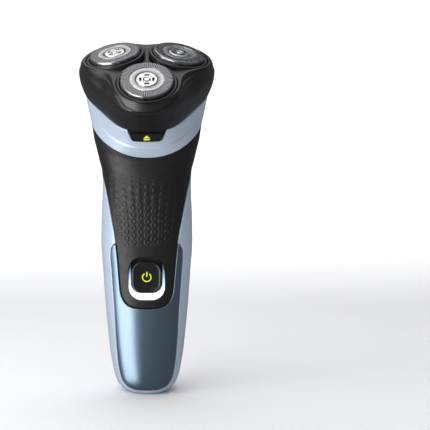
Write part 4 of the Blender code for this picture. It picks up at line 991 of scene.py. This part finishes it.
def head_cover():
    """Black cover: plateau, two stepped contours round it, hollow flanks and a rounded wall."""
    columns = 360
    angles = np.arange(columns) * 2 * math.pi / columns
    flank = near_angle(angles, 62, 0.40) + near_angle(angles, -62, 0.40)
    corner = near_angle(angles, 112, 0.5) + near_angle(angles, -112, 0.5)
    nose = near_angle(angles, 0, 0.52)
    rim = -8.0 - 3.6 * flank - 1.8 * corner
    edge = cover_point(angles, rim)
    reach_out = np.hypot(edge[:, 0], edge[:, 1])
    ray = edge / reach_out[:, None]
    x, y = ray[:, 0], ray[:, 1]
    plateau = halved(np.zeros(columns), reach_out, lambda r: plateau_distance(x * r, y * r) < 0)
    contour = np.minimum(plateau, reach_out - 1.15)
    rows = []
    low_wall = [0, 0.02, 0.06, 0.12, 0.2]
    wall = np.concatenate([low_wall, np.linspace(0.28, 0.74, 9), np.linspace(0.77, 1.0, 17)])
    bottom = COVER_RINGS[0, 0]
    width = reach_out - contour
    top = platform(ray[:, 0] * contour, ray[:, 1] * contour) - 0.3
    drop = top - rim
    turn = np.abs((angles + math.pi) % (2 * math.pi) - math.pi)
    smile = 0.235
    front = ramp(0.50, smile, turn)
    crease = 0.36 + 0.64 * ramp(0.52, 0.25, turn)
    second = 0.22 + 0.78 * ramp(0.50, smile, turn)
    first = 1.0 - 0.6 * nose
    low_line = -9.4 + 0.0292 * (29.5 * np.sin(np.minimum(turn, smile))) ** 2
    groove_level = np.where(turn < smile, low_line, top - second * drop)

    def groove(level):
        """Depth of the crease that curves under the front head like a smile."""
        return 0.6 * ramp(0.64, 0.44, turn) * np.exp(-((level - groove_level) / 0.5) ** 2)

    for share in wall:
        heights = bottom + (rim - bottom) * share
        points = cover_point(angles, heights, roll(heights - bottom, 0.45) + groove(heights))
        rows.append(np.concatenate([points, heights[:, None]], 1))
    shares = np.concatenate([
        1 - np.array([0.01, 0.03, 0.06]), np.linspace(0.9, 0.62, 12), np.linspace(0.6, 0.4, 17),
        np.linspace(0.37, 0.2, 6), np.linspace(0.18, 0.01, 12),
    ])
    for v in shares:
        u = np.where(v < 0.5, 2 * v * crease, crease + (2 * v - 1) * (1 - crease))
        t = np.clip((u - crease) / (1 - crease), 0, 1)
        fall = 0.3 * ramp(0.0, 0.45, t) + 0.7 * (1 - np.sqrt(1 - t * t))
        far = u * width
        step = 0.95 * (1 - front)
        away = (u - crease) * width
        fallen = first * ramp(0.0, np.minimum(0.75, 0.6 * width), far)
        fallen = fallen + (second * drop - first) * np.clip(u / crease, 0, 1) + step * ramp(0.0, 0.75, away)
        fallen = fallen + (drop * (1 - second) - step) * np.where(u > crease, fall, 0.0)
        bead = 0.16 * np.exp(-((away + 0.2) / 0.3) ** 2) - 0.22 * np.exp(-((away - 0.8) / 0.35) ** 2)
        level = top - fallen + bead * (1 - front) * ramp(1.0, 0.9, u)
        out = contour + u * width - groove(level) * ramp(0.0, 0.3, u)
        rows.append(np.stack([ray[:, 0] * out, ray[:, 1] * out, level], 1))
    near_edge = 1 - np.array([0.0, 0.004, 0.01, 0.018, 0.03])
    for share in np.concatenate([near_edge, np.linspace(0.955, 0.06, 52), [0.02]]):
        out = contour * share
        x, y = ray[:, 0] * out, ray[:, 1] * out
        rows.append(np.stack([x, y, platform(x, y) - 0.86 * roll(contour - out, 0.35)], 1))
    inside = []
    for height in np.linspace(COVER_ROOF - 1.2, bottom, 9):
        points = cover_point(angles, np.full(columns, min(height, -9.5)), COVER_WALL)
        inside.append(np.concatenate([points, np.full((columns, 1), height)], 1))
    roof = []
    for share in (0.05, 0.5, 1.0):
        points = cover_point(angles, np.full(columns, -9.5), COVER_WALL + 0.5) * share
        roof.append(np.concatenate([points, np.full((columns, 1), COVER_ROOF)], 1))
    order = rows[::-1]
    inside = inside[::-1]
    rings = [through(HEAD, ring) for ring in order + inside + roof[::-1]]
    obj = new_object("head_shell", ring_stack(rings))
    cuts = []
    for name in HEADS:
        cuts.append(prism(circle(POCKET, 160), -10, 8, "Z", GUARDS[name]))
    relief = by_hinge((-2.4, -3), (3, -3), (3, 2.3), (-2.4, 2.3))
    cuts.append(prism(relief, -3.8, 3.8, "X", HEAD))
    cut(obj, *cuts)
    add("head_shell", obj, "head_black", "shaving_unit", "head_cover")
    parts = []
    for low, high in ((3.8, 7.0), (-7.0, -3.8)):
        parts.append(prism(circle(HINGE_EYE, 40, (HINGE.y, HINGE.z)), low, high, "X", HEAD, 0.2))
        outline = by_hinge((-2.2, 0.2), (0.9, 0.6), (0.2, 2.6), (-1.4, 5.0), (-2.2, 5.0))
        parts.append(prism(outline, low, high, "X", HEAD))
    add("head_hinge_eyes", merged(parts), "head_black", "shaving_unit")
    ribs = []
    for x in (-0.75, 0.75):
        profile = []
        for y in np.linspace(-0.5, 15.0, 30):
            base = float(platform(np.array([x]), np.array([y]))[0])
            fade = float(ramp(-0.5, 1.0, np.array(y)) * ramp(15.0, 13.0, np.array(y)))
            bend = np.linspace(0, math.pi, 9)
            ring = [(x + 0.30 * math.cos(t), y, base - 0.1 + (0.1 + 0.32 * math.sin(t)) * fade) for t in bend]
            ring += [(x - 0.30, y, base - 0.6), (x + 0.30, y, base - 0.6)]
            profile.append(through(HEAD, ring))
        ribs.append(ring_stack(profile))
    add("head_ribs", merged(ribs), "head_black", "shaving_unit")


def shaving_head(name):
    """Pocket ring, slotted guard, centre disc and the dark plate below it."""
    frame_of = GUARDS[name]
    profile = [
        (11.6, -3.8), (12.7, -3.8), (12.9, -3.6), (12.9, -1.95), (12.82, -1.72), (12.6, -1.6),
        (12.2, -1.56), (11.85, -1.6), (11.68, -1.72), (11.6, -1.95),
    ]
    rim = turned(profile, 128, frame_of)
    add("holder_rim_" + name, rim, "head_black", "holder_" + name, "holder_ring_" + name)
    slots, per = 72, 4
    grooves = []
    for i in range(9):
        radius = 5.25 + 0.21 * i
        grooves += [(radius, -0.04), (radius + 0.11, -0.075)]
    line = [(4.78, -0.5), (4.82, -0.2), (4.95, -0.09), (5.1, -0.05)] + grooves + [
        (7.18, -0.05), (7.28, -0.12), (7.34, -0.34), (7.55, -0.34), (7.62, -0.12), (7.68, -0.03), (7.76, 0.0),
        (7.9, 0.01), (8.6, 0.02), (9.3, 0.03), (10.0, 0.02), (10.5, 0.0), (10.72, -0.02), (10.9, -0.06),
        (11.05, -0.14), (11.17, -0.28), (11.23, -0.45), (11.25, -0.7), (11.25, -1.15), (11.1, -1.22),
        (11.1, -1.36), (11.25, -1.43), (11.25, -4.0),
    ]
    line = np.array(line)
    along = np.gradient(line, axis=0)
    along /= np.linalg.norm(along, axis=1, keepdims=True)
    under = line + 0.3 * np.stack([along[:, 1], -along[:, 0]], 1)
    share = np.array([0.0, 0.24, 0.48, 0.74])
    turn = (np.repeat(np.arange(slots), per) + np.tile(share, slots)) * 2 * math.pi / slots
    slant = 0.10 * np.clip(line[:, 0] - 9.3, -1.2, 1.4) / 9.3
    present = np.ones((len(line) - 1, slots * per), bool)
    middle = (line[:-1, 0] + line[1:, 0]) / 2
    top = line[:-1, 1] > -0.13
    slotted = (middle > 7.8) & (middle < 10.95) & top
    present[np.ix_(slotted, np.tile([True, True, False, False], slots))] = False
    body = "guard_unit_" + name
    guard_look = turned_steel("guard_steel_" + name, name, (0.44, 0.44, 0.46), 0.27, inner=(0.76, 0.76, 0.78))
    outer, inner = swept(frame_of, line, turn, slant), swept(frame_of, under, turn, slant)
    foil = grid_solid(outer, inner, present, wrap=True)
    add("guard_foil_" + name, foil, "shaver_steel", body, "guard_" + name, finish=guard_look, smooth=40)
    steps = 96
    disc = np.array([
        (0.02, 0.12), (0.7, 0.12), (0.95, 0.09), (1.1, 0.0), (1.16, -0.22), (1.62, -0.22), (1.68, -0.03),
        (1.85, 0.0), (2.05, 0.0), (2.28, 0.0), (2.5, 0.0), (3.3, 0.0), (3.5, 0.0), (4.0, 0.0), (4.3, -0.02),
        (4.46, -0.09), (4.55, -0.22),
        (4.58, -0.42),
    ])
    below = disc.copy()
    below[:, 1] = -0.55
    around = np.arange(steps) * 2 * math.pi / steps
    degrees = (np.degrees(around) + 180 / steps) % 90
    arc = (degrees < 22) | (degrees > 68)
    dash = (degrees > 33) & (degrees < 57)
    spoke = (degrees > 37) & (degrees < 53)
    cells = np.ones((len(disc) - 1, steps), bool)
    radius = (disc[:-1, 0] + disc[1:, 0]) / 2
    cells[np.ix_((radius > 2.28) & (radius < 3.3), arc)] = False
    cells[np.ix_((radius > 2.05) & (radius < 2.28), dash)] = False
    cells[np.ix_((radius > 1.15) & (radius < 1.65), ~spoke)] = False
    disc_look = turned_steel("disc_steel_" + name, name, (0.86, 0.86, 0.88), 0.15, 9000.0)
    cap = grid_solid(swept(frame_of, disc, around), swept(frame_of, below, around), cells, wrap=True)
    add("guard_disc_" + name, cap, "bright_steel", body, "guard_cap_" + name, finish=disc_look, smooth=40)
    plate = [(0, -0.98), (4.2, -0.98), (4.3, -0.9), (4.3, -0.72), (4.2, -0.64), (0, -0.64)]
    backing = turned(plate, 64, frame_of, closed=False)
    add("disc_back_" + name, backing, "inner_black", body, finish=LOOKS["seal_rubber"])


# ---------------------------------------------------------------- trimmer

def trimmer():
    low, high = 79.9, 97.5
    half = 8.9
    stations = spaced(low, high, 22, (0.0, 0.05, 0.14, 0.28, 0.5))
    xs = spaced(-half, half, 26, (0.0, 0.05, 0.14, 0.28, 0.5))
    shapes = [p[:, None] for p in section(stations)]
    x = np.broadcast_to(xs[None, :] + 1e-6, (len(stations), len(xs)))
    side, back = np.full(x.shape, math.pi / 2), np.full(x.shape, math.pi)
    angles = np.sign(x) * halved(side, back, lambda a: handle_radius(shapes, a) * np.sin(a) > np.abs(x))
    door_edge = [(0, low), (half, low), (half, high), (0, high)]
    corner = edge_distance(np.abs(xs)[None, :], stations[:, None], door_edge)
    waves = 0.22 * np.sin(np.clip((stations - 91.2) / 0.9, 0, 5) * 2 * math.pi)
    grips = waves[:, None] * ramp(6.5, 5.6, np.abs(xs))[None, :]
    outer = surface(stations[:, None], angles, 0.12 + roll(corner, 0.5) + np.maximum(grips, 0))
    inner = surface(stations[:, None], angles, 1.7)
    door = grid_solid(outer, inner)
    pivot = Vector(JOINTS["trimmer_out"]["pos_m"]) / MM
    outline = [(pivot.y - 2.3, 81.0), (pivot.y + 0.9, 81.0), (pivot.y + 0.9, 97.2), (pivot.y - 2.3, 97.2)]
    core = prism(outline, -8.2, 8.2, "X", Matrix(), 0.3)
    heel = prism(circle(2.3, 40, (pivot.y, pivot.z)), -8.8, 8.8, "X", Matrix(), 0.25)
    add("trimmer_door", merged([door, core, heel]), "ice_blue_plastic", "trimmer", "trimmer_arm")


def trimmer_slider():
    place = Vector((0, 19.0, 66.0))
    half, high = 4.6, 3.6
    outline = rounded(half, -high, high, 1.6, 8)
    rings = []
    for grow, level in ((0.0, 0.35), (0.0, 1.1), (-0.08, 1.35), (-0.25, 1.52), (-0.5, 1.6)):
        wide, tall = 1 + grow / half, 1 + grow / high
        rings.append([(x * wide, place.y + level, place.z + z * tall) for x, z in outline])
    parts = [ring_stack(rings)]
    for i in range(5):
        z = place.z - 2.2 + 1.1 * i
        crest = ((1.5, -0.3), (1.68, -0.16), (1.7, 0.0), (1.68, 0.16), (1.5, 0.3))
        rib = [(place.y + out, z + up) for out, up in crest]
        parts.append(prism(rib, -3.4, 3.4, "X"))
    neck = [(x, z + place.z) for x, z in rounded(1.6, -3.0, 3.0, 0.8, 6)]
    parts.append(prism(neck, place.y - 4.2, place.y + 0.9, "Y"))
    foot = [(x, z + place.z) for x, z in rounded(3.6, -3.2, 3.2, 0.6, 6)]
    parts.append(prism(foot, place.y - 5.4, place.y - 3.9, "Y", Matrix(), 0.2))
    add("thumb_slide", merged(parts), "inner_black", "trimmer_slide", "trimmer_slider")


# ---------------------------------------------------------------- build

rear_shell()
neck_collar()
front_panel()
front_grip()
power_button()
light_crescent()
release_button()
head_cover()
for head in HEADS:
    shaving_head(head)
trimmer()
trimmer_slider()

slots = {part["node"]: part["material_slot"] for part in frame["record"]["subparts"]}
for node, obj in NODES.items():
    for place in obj.material_slots:
        place.material = LOOKS[slots[node]].material

# ---------------------------------------------------------------- studio

def pale(name, colour, roughness):
    made = Look(name, colour, roughness)
    made.mottle(made.between(made.noise(6.0), 0.0, 1.0), 0.012)
    return made.bump(made.noise(900.0, 3.0), 0.04, 0.0001).material


sweep = bmesh.new()
profile = [(-3.0, 0.0), (0.9, 0.0)]
profile += [(0.9 + 0.6 * math.sin(t), 0.6 - 0.6 * math.cos(t)) for t in np.linspace(0.1, math.pi / 2, 14)]
profile += [(1.5, 3.0)]
lines = [[sweep.verts.new((x, y, z)) for y, z in profile] for x in (-4.0, 4.0)]
for i in range(len(profile) - 1):
    sweep.faces.new((lines[0][i], lines[1][i], lines[1][i + 1], lines[0][i + 1]))
mesh = bpy.data.meshes.new("studio_sweep")
sweep.to_mesh(mesh)
sweep.free()
mesh.shade_smooth()
floor = bpy.data.objects.new("studio_sweep", mesh)
bpy.context.scene.collection.objects.link(floor)
mesh.materials.append(pale("pale_floor", (0.93, 0.93, 0.93), 0.7))
floor.visible_glossy = False

AIM = Vector((0, 0, 0.078))


def softbox(name, place, size, power, target=AIM, colour=(1, 1, 1)):
    data = bpy.data.lights.new(name, "AREA")
    data.shape = "RECTANGLE"
    data.size, data.size_y = size
    data.energy = power
    data.color = colour
    obj = bpy.data.objects.new(name, data)
    obj.location = place
    obj.rotation_euler = (Vector(target) - Vector(place)).to_track_quat("-Z", "Y").to_euler()
    obj.visible_camera = False
    bpy.context.scene.collection.objects.link(obj)
    return obj


softbox("key_left", (-0.31, -0.29, 0.215), (0.55, 0.42), 1.8, (0, 0, 0.215))
softbox("top", (-0.15, 0.10, 0.95), (1.2, 1.0), 4.0)
softbox("backdrop_light", (0.0, 0.55, 1.0), (2.4, 0.8), 21.0, (0.0, 1.5, 0.7))
fill = softbox("floor_fill", (0.0, 0.0, 0.95), (1.6, 1.4), 3.6, (0, 0, 0))
fill.visible_glossy = False
gloss = softbox("panel_gloss", (-0.30, -0.24, -0.10), (0.40, 0.34), 2.0, (0, 0, 0.0))
gloss.visible_diffuse = False

world = bpy.data.worlds.new("studio_air")
bpy.context.scene.world = world
world.use_nodes = True
world.node_tree.nodes["Background"].inputs["Color"].default_value = (0.9, 0.93, 1.0, 1)
world.node_tree.nodes["Background"].inputs["Strength"].default_value = 0.16

camera_data = bpy.data.cameras.new("camera")
camera = bpy.data.objects.new("camera", camera_data)
bpy.context.scene.collection.objects.link(camera)
ELEVATION = math.radians(5)
DISTANCE = 0.55
camera.location = AIM + DISTANCE * Vector((0, -math.cos(ELEVATION), math.sin(ELEVATION)))
camera.rotation_euler = (AIM - camera.location).to_track_quat("-Z", "Y").to_euler()
camera_data.lens = 102
camera_data.shift_x = 0.1586
camera_data.shift_y = 0.0073
camera_data.dof.use_dof = False
bpy.context.scene.camera = camera
bpy.context.scene.view_settings.view_transform = "Standard"
